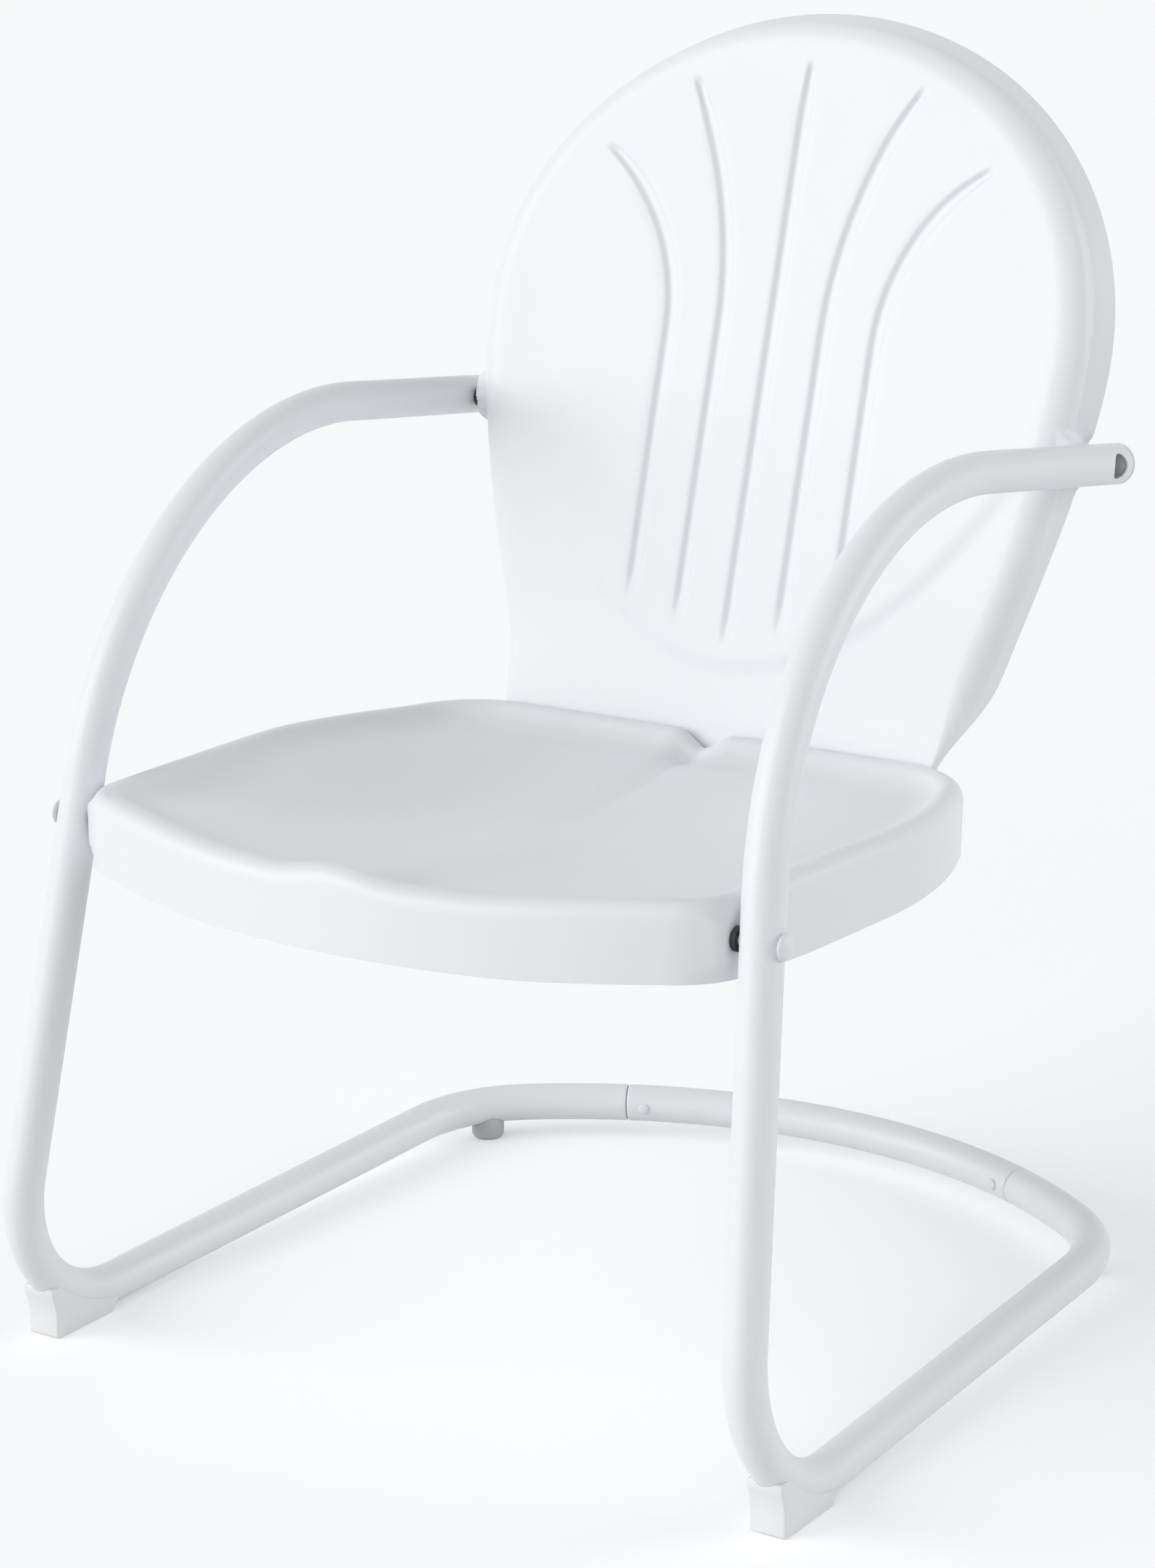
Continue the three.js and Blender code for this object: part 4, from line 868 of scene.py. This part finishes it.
def crown_spot(angle):
    """A place on the round top, and the direction out of the sheet there."""
    out = np.array((math.cos(angle) / HALF_WIDTH, math.sin(angle) / CROWN))
    place = np.array((HALF_WIDTH * math.cos(angle), WAIST + CROWN * math.sin(angle)))
    return place, out / np.linalg.norm(out)


def side_spot(v):
    """The same on the side: upright at the waist, and narrowing to the foot."""
    if v > WAIST:
        return crown_spot(math.asin((v - WAIST) / CROWN))
    fall = SIDE_SLOPE * (WAIST - v)
    eased = math.hypot(WAIST_EASE, fall)
    out = np.array((1, -SIDE_SLOPE * fall / eased))
    return np.array((HALF_WIDTH - (eased - WAIST_EASE), v)), out / np.linalg.norm(out)


# %% The back's rolled edge
TAPER_ZONE, SHOULDER_ZONE = (5, 75), (130, 290)


def taper(v):
    return smooth(v, *TAPER_ZONE)


def upper_share(v):
    return smooth(v, *SHOULDER_ZONE)


def roll_radii(v):
    """The edge turns back in a soft shoulder and then a tight one; at the foot both are alike."""
    low = FOOT_ROLL + (ROLL - FOOT_ROLL) * taper(v)
    share = upper_share(v)
    return low + (SOFT_RADIUS - low) * share, low + (TIGHT_RADIUS - low) * share


def roll_spot(v, angle):
    """How far out and how far back the roll has come at an angle."""
    soft, tight = roll_radii(v)
    first, rest = min(angle, SOFT_TURN), max(angle, SOFT_TURN)
    out = soft * math.sin(first) + tight * (math.sin(rest) - math.sin(SOFT_TURN))
    back = soft * (1 - math.cos(first)) + tight * (math.cos(SOFT_TURN) - math.cos(rest))
    return out, back


def full_turn(v):
    return math.pi / 2 + (FULL_TURN - math.pi / 2) * upper_share(v)


def flange_at(v):
    return FOOT_FLANGE + (FLANGE - FOOT_FLANGE) * taper(v)


# %% The plate's dish and panel, and a section through its edge
def plate_offset(u, v):
    """How far the plate lies behind its plane: the dish, less the panel that steps forward."""
    edge = side_spot(min(v, WAIST))[0][0]
    dish = cubic_table(v, DISH_AT, DISH)
    boundary = PANEL_FOOT + u * u / (2 * PANEL_RADIUS)
    panel = smooth(v, boundary, boundary + PANEL_EASE)
    return dish * min(1, abs(u) / edge) ** 2 - PANEL_STEP * panel


def inset_spot(spot):
    """Where the plate ends and its roll begins."""
    place, out = spot
    v = place[1]
    return place - out * (roll_spot(v, full_turn(v))[0] + FLARE * upper_share(v))


def edge_section(spot):
    """The roll and the flange behind it, from the plate outwards."""
    place, out = spot
    v = place[1]
    start = inset_spot(spot)
    w = plate_offset(*start)
    angles = np.concatenate([
        np.linspace(0, SOFT_TURN, SOFT_STEPS + 1),
        np.linspace(SOFT_TURN, full_turn(v), TIGHT_STEPS + 1)[1:]])
    section = []
    for angle in angles:
        along, back = roll_spot(v, angle)
        section.append((*(start + out * along), w + back))
    foot, goal = np.array(section[-1]), np.array((*place, w + flange_at(v)))
    for share in (0.05, 0.15, 0.35, 0.6, 0.8, 1):
        section.append(tuple(foot + (goal - foot) * share))
    return section


# %% [markdown]
# The five flutes are pressed grooves. The middle one is straight, and the others stand upright
# at the foot and bend outwards in a circle's arc. Only the middle and one side are described,
# and the other side is their mirror. A texture could fake them, but it would stay flat in
# profile and in the long light from the side.

# %% Flutes: each a foot, a top and a path
class Flute:
    def __init__(self, across, foot, top, bend_start, radius):
        self.across, self.foot, self.top = across, foot, top
        self.bend_start, self.radius = bend_start, radius

    def at(self, v):
        """The place of its middle line at a height, and its slope there."""
        rise = max(0, v - self.bend_start)
        level = math.sqrt(self.radius ** 2 - rise ** 2)
        return np.array((self.across + self.radius - level, v)), rise / level


flutes = [
    Flute(0, 66, 487, 487, 330), Flute(42.2, 80, 472, 295, 330), Flute(84.4, 95, 419, 290, 150),
]
FLUTE_HALF, FLUTE_FLOOR, FLUTE_DEPTH = 6.5, 3.5, 2.8
FLUTE_NARROWING, FLUTE_RUN_IN, FLUTE_RUN_OUT = 0.4, 0.075, 0.982
EDGE_ROW_FOOT, EDGE_ROW_TOP = 108.0, 332.0
FLUTE_COLUMNS, BETWEEN_COLUMNS, SIDE_COLUMNS = 13, 10, 20
FOOT_ROWS, RUN_IN_ROWS, LONG_ROWS, RUN_OUT_ROWS, TOP_ROWS = 31, 9, 86, 11, 13


def crown_angle(flute):
    """The angle of the crown at which a flute's line, carried on, would meet it."""
    place, slope = flute.at(flute.top)
    angle = math.pi / 2
    for _ in range(60):
        spot = inset_spot(crown_spot(angle))
        angle += (spot[0] - place[0] - (spot[1] - place[1]) * slope) / HALF_WIDTH / 2
    return angle


angles = [crown_angle(f) for f in flutes] + [SHOULDER]
print("flutes meet the crown at", [round(math.degrees(a)) for a in angles[:3]], "degrees")


# %% The back as a grid that follows its flutes
def back_surface():
    """Columns follow the flutes; rows are below (0), along (1) and above (2) them."""
    beside = np.linspace(-FLUTE_HALF, FLUTE_HALF, FLUTE_COLUMNS)
    columns = []
    for k in range(3):
        if k:
            columns += [(k - 1, k, m, 0.0) for m in np.linspace(0, 1, BETWEEN_COLUMNS)[1:-1]]
        columns += [(k, k, 0.0, s) for s in beside if k or s >= 0]
    columns += [(2, 3, m, 0.0) for m in np.linspace(0, 1, SIDE_COLUMNS)[1:-1]]
    shoulder_v = crown_spot(SHOULDER)[0][1]
    # The rows lie closer where the flutes run in and out.
    rows = [(0, s) for s in np.linspace(0, 1, FOOT_ROWS)[:-1]]
    rows += [(1, s) for s in np.concatenate([
        np.linspace(0, 0.08, RUN_IN_ROWS), np.linspace(0.08, 0.94, LONG_ROWS)[1:-1],
        np.linspace(0.94, 1, RUN_OUT_ROWS)])]
    rows += [(2, s) for s in np.linspace(0, 1, TOP_ROWS)[1:]]

    def edge_height(row):
        marks = (-FOOT_DROP, EDGE_ROW_FOOT, EDGE_ROW_TOP, shoulder_v)
        return marks[row[0]] + (marks[row[0] + 1] - marks[row[0]]) * row[1]

    def guide_place(k, shift, row):
        zone, share = row
        if k == 3:
            return inset_spot(side_spot(edge_height(row)))
        flute = flutes[k]
        marks = (-FOOT_DROP, flute.foot, flute.top, flute.top)
        place, slope = flute.at(marks[zone] + (marks[zone + 1] - marks[zone]) * share)
        across = np.array((1, -slope))
        here = place + across / np.linalg.norm(across) * shift
        if zone < 2:
            return here
        goal = inset_spot(crown_spot(angles[k] - shift / HALF_WIDTH))
        return here + (goal - here) * share

    def column_angle(column):
        k, m, mix, shift = column
        if k == m:
            return angles[k] - shift / HALF_WIDTH
        start = angles[k] - FLUTE_HALF / HALF_WIDTH
        end = angles[m] + (FLUTE_HALF / HALF_WIDTH if m < 3 else 0)
        return start + (end - start) * mix

    def plate_place(column, row):
        k, m, mix, shift = column
        if k == m:
            return guide_place(k, shift, row)
        start = guide_place(k, FLUTE_HALF, row)
        end = guide_place(m, -FLUTE_HALF if m < 3 else 0, row)
        place = start + (end - start) * mix
        if row[0] < 2:
            return place
        goal = inset_spot(crown_spot(column_angle(column)))
        return place + (goal - place) * row[1] ** 2

    def flute_offset(column, row):
        if column[0] != column[1] or row[0] != 1:
            return 0
        narrow = 1 - FLUTE_NARROWING * smooth(row[1], 0.9, 1)
        across = 1 - smooth(abs(column[3]) / narrow, FLUTE_FLOOR / 2, FLUTE_HALF)
        run = smooth(row[1], 0, FLUTE_RUN_IN)
        return FLUTE_DEPTH * across * run * (1 - smooth(row[1], FLUTE_RUN_OUT, 1))

    points = []

    def add(point):
        points.append(point)
        return len(points) - 1

    up = [edge_section(side_spot(edge_height(row))) for row in rows]
    over = [edge_section(crown_spot(column_angle(c))) for c in columns[::-1]]
    left = up + over
    right = [[flip(p) for p in section] for section in left[-2::-1]]
    sections = [[add(p) for p in section] for section in left + right]
    wide = len(columns) - 1
    grid = []
    for j, row in enumerate(rows):
        cells = [sections[-1 - j][0]]
        for i in range(-wide, wide + 1):
            if j == len(rows) - 1:
                cells.append(sections[len(rows) + wide - i][0])
                continue
            column = columns[abs(i)]
            u, v = plate_place(column, row)
            offset = plate_offset(u, v) + flute_offset(column, row)
            cells.append(add((u if i >= 0 else -u, v, offset)))
        cells.append(sections[j][0])
        grid.append(cells)
    edge = [[section[k] for section in sections] for k in range(len(sections[0]))]
    return np.array(points), grid_faces(grid) + grid_faces(edge[::-1])


# %% The back, leaned into its place
def back_to_drawing(points):
    """From across, up and behind the leaning plane to drawing millimetres."""
    u, v, w = points.T
    y = PLATE_DEPTH + v * math.sin(RECLINE) + w * math.cos(RECLINE)
    z = PLATE_HEIGHT + v * math.cos(RECLINE) - w * math.sin(RECLINE)
    return np.stack([u, y, z], axis=1)


back_points, back_faces = back_surface()
dy, dz = arm_bolt_point[1] - PLATE_DEPTH, arm_bolt_point[2] - PLATE_HEIGHT
arm_pad_v = dz * math.cos(RECLINE) + dy * math.sin(RECLINE)
arm_pad_w = dy * math.cos(RECLINE) - dz * math.sin(RECLINE)
press_pad(back_points, arm_pad_v, arm_pad_w, 1, 2, ARM_PAD)
back = sheet_piece("back_shell_fine", back_to_drawing(back_points), back_faces, white_paint)
smooth_by_angle(back, SHEET_CREASE)
stands_for(back, "sheet_paint", "upper", "back_shell")

# %% [markdown]
# ## Bolts, plugs and glides
# These are turned shapes that repeat. Each is drawn once as a profile, spun round its axis,
# and Geometry Nodes put the copies in place: a point says where, an attribute on it says
# which way the copy looks.

# %% A turned shape
HARDWARE_CREASE = 32


def spun(name, profile, sides=40):
    """Spin pairs of radius and height in millimetres round Z."""
    points, rows = [], []
    for radius, height in profile:
        if radius < 1e-6:
            points.append((0, 0, height * MM))
            rows.append([len(points) - 1] * (sides + 1))
            continue
        first = len(points)
        for i in range(sides):
            a = 2 * math.pi * i / sides
            points.append((radius * math.cos(a) * MM, radius * math.sin(a) * MM, height * MM))
        rows.append([first + i % sides for i in range(sides + 1)])
    faces = []
    for face in grid_faces(rows):
        distinct = list(dict.fromkeys(face))
        if len(distinct) > 2:
            faces.append(distinct)
    piece = mesh_object(name, points, faces, zinc)
    clean_normals(piece)
    return smooth_by_angle(piece, HARDWARE_CREASE)


def arc_profile(radius, rise, base):
    """A dome's profile from its rim at a height to its top on the axis."""
    angles = np.linspace(0, math.pi / 2, 9)
    return [(radius * math.cos(a), base + rise * math.sin(a)) for a in angles]


# %% Copies on points, as a Geometry Nodes tree
def copies_tree():
    tree, given = geometry_tree("copies_on_points", Shape="Object", Material="Material")
    shape = new_node(tree, "GeometryNodeObjectInfo", Object=given["Shape"])
    look = new_node(
        tree, "FunctionNodeAlignRotationToVector", Vector=attribute(tree, "axis", "FLOAT_VECTOR"))
    look.axis = "Z"
    put = new_node(
        tree, "GeometryNodeInstanceOnPoints", Points=given["Geometry"],
        Instance=shape.outputs["Geometry"], Rotation=look.outputs["Rotation"])
    return painted_output(tree, put.outputs["Instances"], given["Material"])


COPIES_TREE = copies_tree()


def copies(name, profile, places, axes, material, sides=40):
    """One turned shape at each place, with its own axis along the one given for the place."""
    shape = spun(name + "_shape", profile, sides)
    mesh = bpy.data.meshes.new(name)
    mesh.from_pydata(to_frame(places).tolist(), [], [])
    mesh.attributes.new("axis", "FLOAT_VECTOR", "POINT").data.foreach_set(
        "vector", np.array(axes, float).ravel())
    piece = new_object(name, mesh)
    run_tree(piece, COPIES_TREE, Shape=shape, Material=material)
    bpy.data.objects.remove(shape)
    return piece


def both_sides(point, axis):
    return [tuple(point), flip(point)], [tuple(axis), flip(axis)]


# %% [markdown]
# The seat hangs on one bolt through each leg. Its head is a painted dome on the leg's outer
# side, and its end stands a little out of the nut, as a real one does. The ends of all bolts
# here are alike, so one helper gives them.

# %% Seat bolts with domed heads
HEAD_LIFT, NUT_HEIGHT, NUT_GAP, PAST_NUT = 0.95, 6.5, 0.7, 2


def shank(reach):
    """A bolt's end and shank, up to the plane under its head."""
    return [(0, -reach), (3.6, -reach), (4, 0.4 - reach), (4, 0)]


def nut_end(pad):
    return pad - SHEET_GAUGE - NUT_GAP - NUT_HEIGHT


seat_head = seat_bolt_point + np.array((TUBE_RADIUS + HEAD_LIFT, 0, 0))
seat_bolt_reach = seat_head[0] - nut_end(SEAT_PAD) + PAST_NUT
seat_bolts = copies(
    "seat_bolts_fine",
    [*shank(seat_bolt_reach), (8.2, 0), (8.75, 0.25), *arc_profile(8.75, 4.2, 0.5)],
    *both_sides(seat_head, ACROSS), bolt_paint,
)
stands_for(seat_bolts, "bolt_paint", "upper", "seat_bolt_left", "seat_bolt_right")

# %% [markdown]
# A short sleeve on each seat bolt keeps the leg off the skirt, and a six-sided nut inside the
# skirt holds both. The frame has its own, but the seat's fine skirt stands further out than
# the frame's, so these are drawn again to fill the gap that is really left. The leg leans, so
# the sleeve ends where its rim would touch the tube.

# %% Spacers and nuts on the seat bolts
SPACER_RADIUS, SPACER_GAP, SPACER_PLAY = 8, 0.2, 0.5
NUT_RADIUS, NUT_EDGE, RING_BORE = 7.5, 0.4, 4.2
seat_lean = abs(seat_bolt_ahead[0])
spacer_length = seat_bolt_point[0] - SEAT_PAD - TUBE_RADIUS - SPACER_PLAY
spacer_length -= SPACER_RADIUS * seat_lean / math.sqrt(1 - seat_lean * seat_lean)
print("the seat spacer is", round(float(spacer_length), 2), "mm long")


def ring_profile(bore, radius, height, edge=0.5):
    """A ring's section, closed on itself, with its outer edges broken."""
    return [(bore, 0), (radius - edge, 0), (radius, edge), (radius, height - edge),
            (radius - edge, height), (bore, height), (bore, 0)]


spacer_place = np.array((SEAT_PAD + SPACER_GAP, *seat_bolt_point[1:]))
# The sleeves get the near-black painted shade of the narrow gap between leg and skirt.
seat_spacers = copies(
    "seat_spacers_fine", ring_profile(RING_BORE, SPACER_RADIUS, spacer_length),
    *both_sides(spacer_place, ACROSS), gap_shade_black,
)
nut_place = np.array((nut_end(SEAT_PAD), *seat_bolt_point[1:]))
seat_nuts = copies(
    "seat_nuts_fine", ring_profile(RING_BORE, NUT_RADIUS, NUT_HEIGHT, NUT_EDGE),
    *both_sides(nut_place, ACROSS), zinc, sides=6,
)
stands_for(seat_spacers, "zinc", "upper", "seat_spacer_left", "seat_spacer_right")
stands_for(seat_nuts, "zinc", "upper", "seat_nut_left", "seat_nut_right")

# %% [markdown]
# The arm's bolt lies inside the tube. A fitter puts it through the access hole and turns it
# with a key, so it has a round head with a socket, in bright zinc, which glints in the hole.

# %% Bolts inside the arm tubes
ARM_HEAD_DEPTH = 9.3
arm_head = arm_bolt_point - np.array((ARM_HEAD_DEPTH, 0, 0))
arm_bolt_reach = arm_head[0] - nut_end(ARM_PAD) + PAST_NUT
arm_bolts = copies(
    "arm_bolts_fine",
    [*shank(arm_bolt_reach), (6.1, 0), (6.5, 0.4), (6.5, 4.4), (6.0, 5.0), (3.4, 5.0),
     (3.2, 4.8), (3.2, 2.2), (0, 2.2)],
    *both_sides(arm_head, ACROSS), zinc,
)
stands_for(arm_bolts, "zinc", "upper", "arm_bolt_left", "arm_bolt_right")

# %% [markdown]
# Four bolts hold the back's foot to the seat's rear skirt. The photograph does not show them,
# so their number and places are a guess from how such chairs are put together. They lean with
# the back, and go through two sheets with a thin gap at each.

# %% Bolts through the back's foot
BACK_BOLTS_ACROSS, BACK_BOLTS_UP = (-125, -45, 45, 125), -15
behind = np.array((0, math.cos(RECLINE), -math.sin(RECLINE)))
back_heads = back_to_drawing(np.array(
    [(u, BACK_BOLTS_UP, SHEET_GAUGE + PLATE_GAP) for u in BACK_BOLTS_ACROSS]))
back_bolt_reach = 2 * SHEET_GAUGE + 2 * PLATE_GAP + NUT_GAP + NUT_HEIGHT + PAST_NUT
back_bolts = copies(
    "back_bolts_fine",
    [*shank(back_bolt_reach), (6.6, 0), (7, 0.2), *arc_profile(7, 3.2, 0.3)],
    back_heads, [behind] * 4, bolt_paint,
)
stands_for(back_bolts, "bolt_paint", "upper", *[f"back_bolt_{i}" for i in range(1, 5)])

# %% [markdown]
# A small screw beside each seam keeps the joint together. It goes in level and square to the
# line, and has a low painted head. As both screws are alike, one profile makes the two.

# %% Seam screws
SCREW_FROM_SEAM = 14
seam_point, seam_ahead = frame_line.at(SEAM + SEAM_GAP + SCREW_FROM_SEAM)
seam_axis = np.array((-seam_ahead[1], seam_ahead[0], 0))
seam_axis /= np.linalg.norm(seam_axis)
seam_screws = copies(
    "seam_screws_fine",
    [(0, 7.7), (2.5, 7.7), (2.5, TUBE_RADIUS + 0.1), (4.1, TUBE_RADIUS + 0.1),
     *arc_profile(4.2, 1.5, TUBE_RADIUS + 0.3)],
    *both_sides(seam_point, seam_axis), bolt_paint, sides=28,
)
stands_for(seam_screws, "bolt_paint", "base", "seam_screw_left", "seam_screw_right")

# %% [markdown]
# A moulded plug closes each arm tube. Its thin lid has the tube's width and a slightly domed
# face, and its body goes into the bore.

# %% Arm plugs
arm_point, arm_ahead = frame_line.at(0)
plugs = copies(
    "arm_plugs_fine",
    [(0, -8), (10.8, -8), (11.3, -7), (11.3, 0.2), (13.6, 0.2), (14, 0.7), (14, 1.5),
     *arc_profile(13.6, 1.3, 1.8)],
    *both_sides(arm_point, -arm_ahead), shoe_plastic,
)
stands_for(plugs, "white_plastic", "upper", "arm_plug_left", "arm_plug_right")

# %% [markdown]
# The rear glide is a round button under the tube. Its top is hollowed to the tube's own
# curve, so a Boolean takes the tube out of the button.

# %% Rear glides
def solid_tube(start, end, clearance=0.3):
    """A filled stretch of the frame's line, to be taken out of what is seated on it."""
    cutter = swept_tube("cutter", frame_line, start, end, TUBE_RADIUS + clearance, zinc, lip=0.01)
    work = bmesh.new()
    work.from_mesh(cutter.data)
    bmesh.ops.remove_doubles(work, verts=work.verts, dist=1e-6)
    bmesh.ops.holes_fill(work, edges=work.edges, sides=0)
    bmesh.ops.recalc_face_normals(work, faces=work.faces)
    work.to_mesh(cutter.data)
    work.free()
    return cutter


corner_start, corner_length = frame_line.pieces[REAR_CORNER][:2]
GLIDE_SHARE, RUNNER_CUT = 0.682, frame_line.pieces[RUNNER][0] + 200
glide_point = frame_line.at(corner_start + corner_length * GLIDE_SHARE)[0]
glide = spun("rear_glide_left_fine", [
    (0, 0), (9.2, 0), (10.6, 0.6), (12.1, 2.6), (12.5, 3.6), (12.5, 17), (12.2, 18.5), (0, 18.5)])
glide.data.transform(Matrix.Translation(to_frame([(glide_point[0], glide_point[1], 0)])[0]))
combine(glide, solid_tube(RUNNER_CUT, SEAM), "DIFFERENCE")
only_material(glide, glide_plastic)
smooth_by_angle(glide, HARDWARE_CREASE)
glide_right = mirrored_piece(glide, "rear_glide_right_fine")
stands_for(glide, "grey_plastic", "base", "rear_glide_left")
stands_for(glide_right, "grey_plastic", "base", "rear_glide_right")

# %% [markdown]
# The front shoe is a moulded wedge under the floor bend. It is drawn in side view and pulled to
# its width, a little less than the tube's, so that the tube's own round stays in sight. Bevel
# rounds it as a mould does, and then the tube is taken out of it.

# %% Front shoes in side view
bend_start, bend_length = frame_line.pieces[FLOOR_BEND][:2]
SHOE_HALF_WIDTH, SHOE_ROUND, SHOE_CLEARANCE, SHOE_SHARE = 13.1, 1.6, 0.12, 0.705


def in_bend(share):
    return frame_line.at(bend_start + bend_length * share)[0]


bend_front = min(in_bend(share)[1] for share in np.linspace(0, 1, 301))
front_view = [(20.0, 0), (18.0, 1.8), (18.4, 8), (18.7, 14), (18.4, 19.5), (17.7, 24),
              (16.5, 28), (15.5, 30.8), (15.1, 32.5), (15.1, 37)]
tail_view = [(82.6, 7), (76.6, 0)]
tube_middle = [tuple(in_bend(share)[1:]) for share in (0.58, 0.7, 0.8, 0.9, 1)]
shoe_view = [(bend_front + y, z) for y, z in front_view] + tube_middle
shoe_view += [(bend_front + y, z) for y, z in tail_view]
print("the front of the floor bend is at", round(bend_front, 2), "mm")


# %% Front shoes
def slab(name, outline, half_width, width_round):
    """A side view pulled to a width, with its edges rounded."""
    middle = in_bend(SHOE_SHARE)[0]
    n = len(outline)
    points = [(middle + x, y, z) for x in (-half_width, half_width) for y, z in outline]
    faces = [list(range(n)), list(range(2 * n - 1, n - 1, -1))]
    faces += [(i, (i + 1) % n, n + (i + 1) % n, n + i) for i in range(n)]
    piece = clean_normals(mesh_object(name, to_frame(points), faces, shoe_plastic))
    edges = piece.modifiers.new("round", "BEVEL")
    edges.width, edges.segments = width_round * MM, 4
    edges.limit_method, edges.angle_limit = "ANGLE", math.radians(40)
    return bake(piece)


shoe = slab("front_foot_left_fine", shoe_view, SHOE_HALF_WIDTH, SHOE_ROUND)
leg_cut = leg_start + leg_length * 0.5
combine(shoe, solid_tube(leg_cut, RUNNER_CUT, SHOE_CLEARANCE), "DIFFERENCE")
only_material(shoe, shoe_plastic)
smooth_by_angle(shoe, HARDWARE_CREASE)
shoe_right = mirrored_piece(shoe, "front_foot_right_fine")
stands_for(shoe, "white_plastic", "base", "front_foot_left")
stands_for(shoe_right, "white_plastic", "base", "front_foot_right")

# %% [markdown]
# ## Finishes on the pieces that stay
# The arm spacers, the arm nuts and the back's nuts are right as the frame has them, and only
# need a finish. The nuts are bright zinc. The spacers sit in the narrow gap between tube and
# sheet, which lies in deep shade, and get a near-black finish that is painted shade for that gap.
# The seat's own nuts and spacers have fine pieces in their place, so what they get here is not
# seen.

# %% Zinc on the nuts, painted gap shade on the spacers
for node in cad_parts:
    zinc_or_gap_shade = zinc if "nut" in node else gap_shade_black if "spacer" in node else None
    if zinc_or_gap_shade:
        for material_slot in bpy.data.objects[node].material_slots:
            material_slot.link = "OBJECT"
            material_slot.material = zinc_or_gap_shade
        print(node, "has", zinc_or_gap_shade.name)

# %% [markdown]
# ## Floor and light
# The photograph is a studio picture on white. A floor lit by lamps alone would come out grey
# wherever it is white in the picture, or the lamps would have to burn out the chair. So for
# the camera and for reflections this floor glows a little of itself, which makes it white
# without more light on the chair. The part of it that is lit still carries the soft shadow.

# %% Floor
FLOOR_REACH = 14  # metres from the middle to each edge
FLOOR_LIT, FLOOR_SEEN, FLOOR_GLOW = 0.86, 0.96, 0.24
floor_mesh = bpy.data.meshes.new("floor")
floor_corners = [(-1, -1), (1, -1), (1, 1), (-1, 1)]
floor_mesh.from_pydata(
    [(x * FLOOR_REACH, y * FLOOR_REACH, 0) for x, y in floor_corners], [], [(0, 1, 2, 3)])
floor = new_object("floor", floor_mesh)


def seen_directly(tree):
    """One for rays that end in the picture: the camera's, a reflection's, a clear piece's."""
    rays = tree.nodes.new("ShaderNodeLightPath").outputs
    first = math_step(tree, "MAXIMUM", rays["Is Camera Ray"], rays["Is Glossy Ray"])
    return math_step(tree, "MAXIMUM", first, rays["Is Transmission Ray"])


def grey(level):
    return (level, level, level, 1)


floor_white = bpy.data.materials.new("floor_white")
floor_white.use_nodes = True
floor_tree = floor_white.node_tree
floor_seen = seen_directly(floor_tree)
for socket, value in (
    ("Roughness", 0.9), ("Specular IOR Level", 0.0), ("Emission Color", (0.985, 0.99, 1.0, 1)),
    ("Base Color", colour_mix(floor_tree, floor_seen, grey(FLOOR_LIT), grey(FLOOR_SEEN))),
    ("Emission Strength", math_step(floor_tree, "MULTIPLY", floor_seen, FLOOR_GLOW)),
):
    feed(floor_tree, floor_tree.nodes["Principled BSDF"].inputs[socket], value)
floor_mesh.materials.append(floor_white)
print("the floor is", 2 * FLOOR_REACH, "m wide")

# %% [markdown]
# The room is drawn as the world: white walls and a darker ceiling, so what faces up is greyer
# than what faces the front. Modelled walls could do the same, but a world has no corners to
# see and stands in no lamp's way. The camera gets a plain near-white in its place.

# %% The room as the world: white walls, a darker ceiling
WALL, CEILING = 0.68, 0.31
world = bpy.data.worlds.new("white_room")
bpy.context.scene.world = world
world.use_nodes = True
room_tree = world.node_tree
direction = new_node(room_tree, "ShaderNodeTexCoord").outputs["Generated"]
height = new_node(room_tree, "ShaderNodeSeparateXYZ", Vector=direction).outputs["Z"]
brightness = new_node(
    room_tree, "ShaderNodeMapRange", Value=height, To_Min=WALL, To_Max=CEILING)
room = room_tree.nodes["Background"]
feed(room_tree, room.inputs["Color"], (0.97, 0.98, 1.0, 1))
feed(room_tree, room.inputs["Strength"], brightness.outputs["Result"])
plain = new_node(
    room_tree, "ShaderNodeBackground", Color=(0.93, 0.935, 0.94, 1), Strength=1.0)
pick = new_node(room_tree, "ShaderNodeMixShader", Fac=seen_directly(room_tree))
feed(room_tree, pick.inputs[1], room.outputs[0])
feed(room_tree, pick.inputs[2], plain.outputs[0])
feed(room_tree, room_tree.nodes["World Output"].inputs["Surface"], pick.outputs[0])
print("walls at", WALL, "and ceiling at", CEILING)

# %% [markdown]
# Three lamps stand for the studio's. The key is broad and soft and comes from the sitter's
# right and front. A weak fill comes from the front. The third, behind the sitter's left, lights
# the tubes' far sides. They have their names from the picture's left and right. Area lamps
# near the chair would light the floor unevenly, so these are suns with a wide angle: their
# shadows are soft, and the whole floor is lit alike.

# %% Key, fill and rim lamps
def far_softbox(name, towards, width_degrees, level):
    """A wide far lamp: level is the brightness that it gives a white sheet square to it."""
    lamp = bpy.data.lights.new(name, "SUN")
    lamp.energy, lamp.angle = level * math.pi, math.radians(width_degrees)
    holder = new_object(name, lamp)
    holder.location = Vector(towards) * 4
    holder.rotation_euler = Vector(towards).to_track_quat("Z", "Y").to_euler()
    print(name, "gives", level)


far_softbox("key_left", (-0.60, -0.69, 0.40), 50, 0.48)
far_softbox("fill_front", (-0.02, -0.96, 0.26), 60, 0.11)
far_softbox("rim_right", (0.80, 0.51, 0.30), 40, 0.28)
bpy.context.scene.view_settings.view_transform = "Standard"
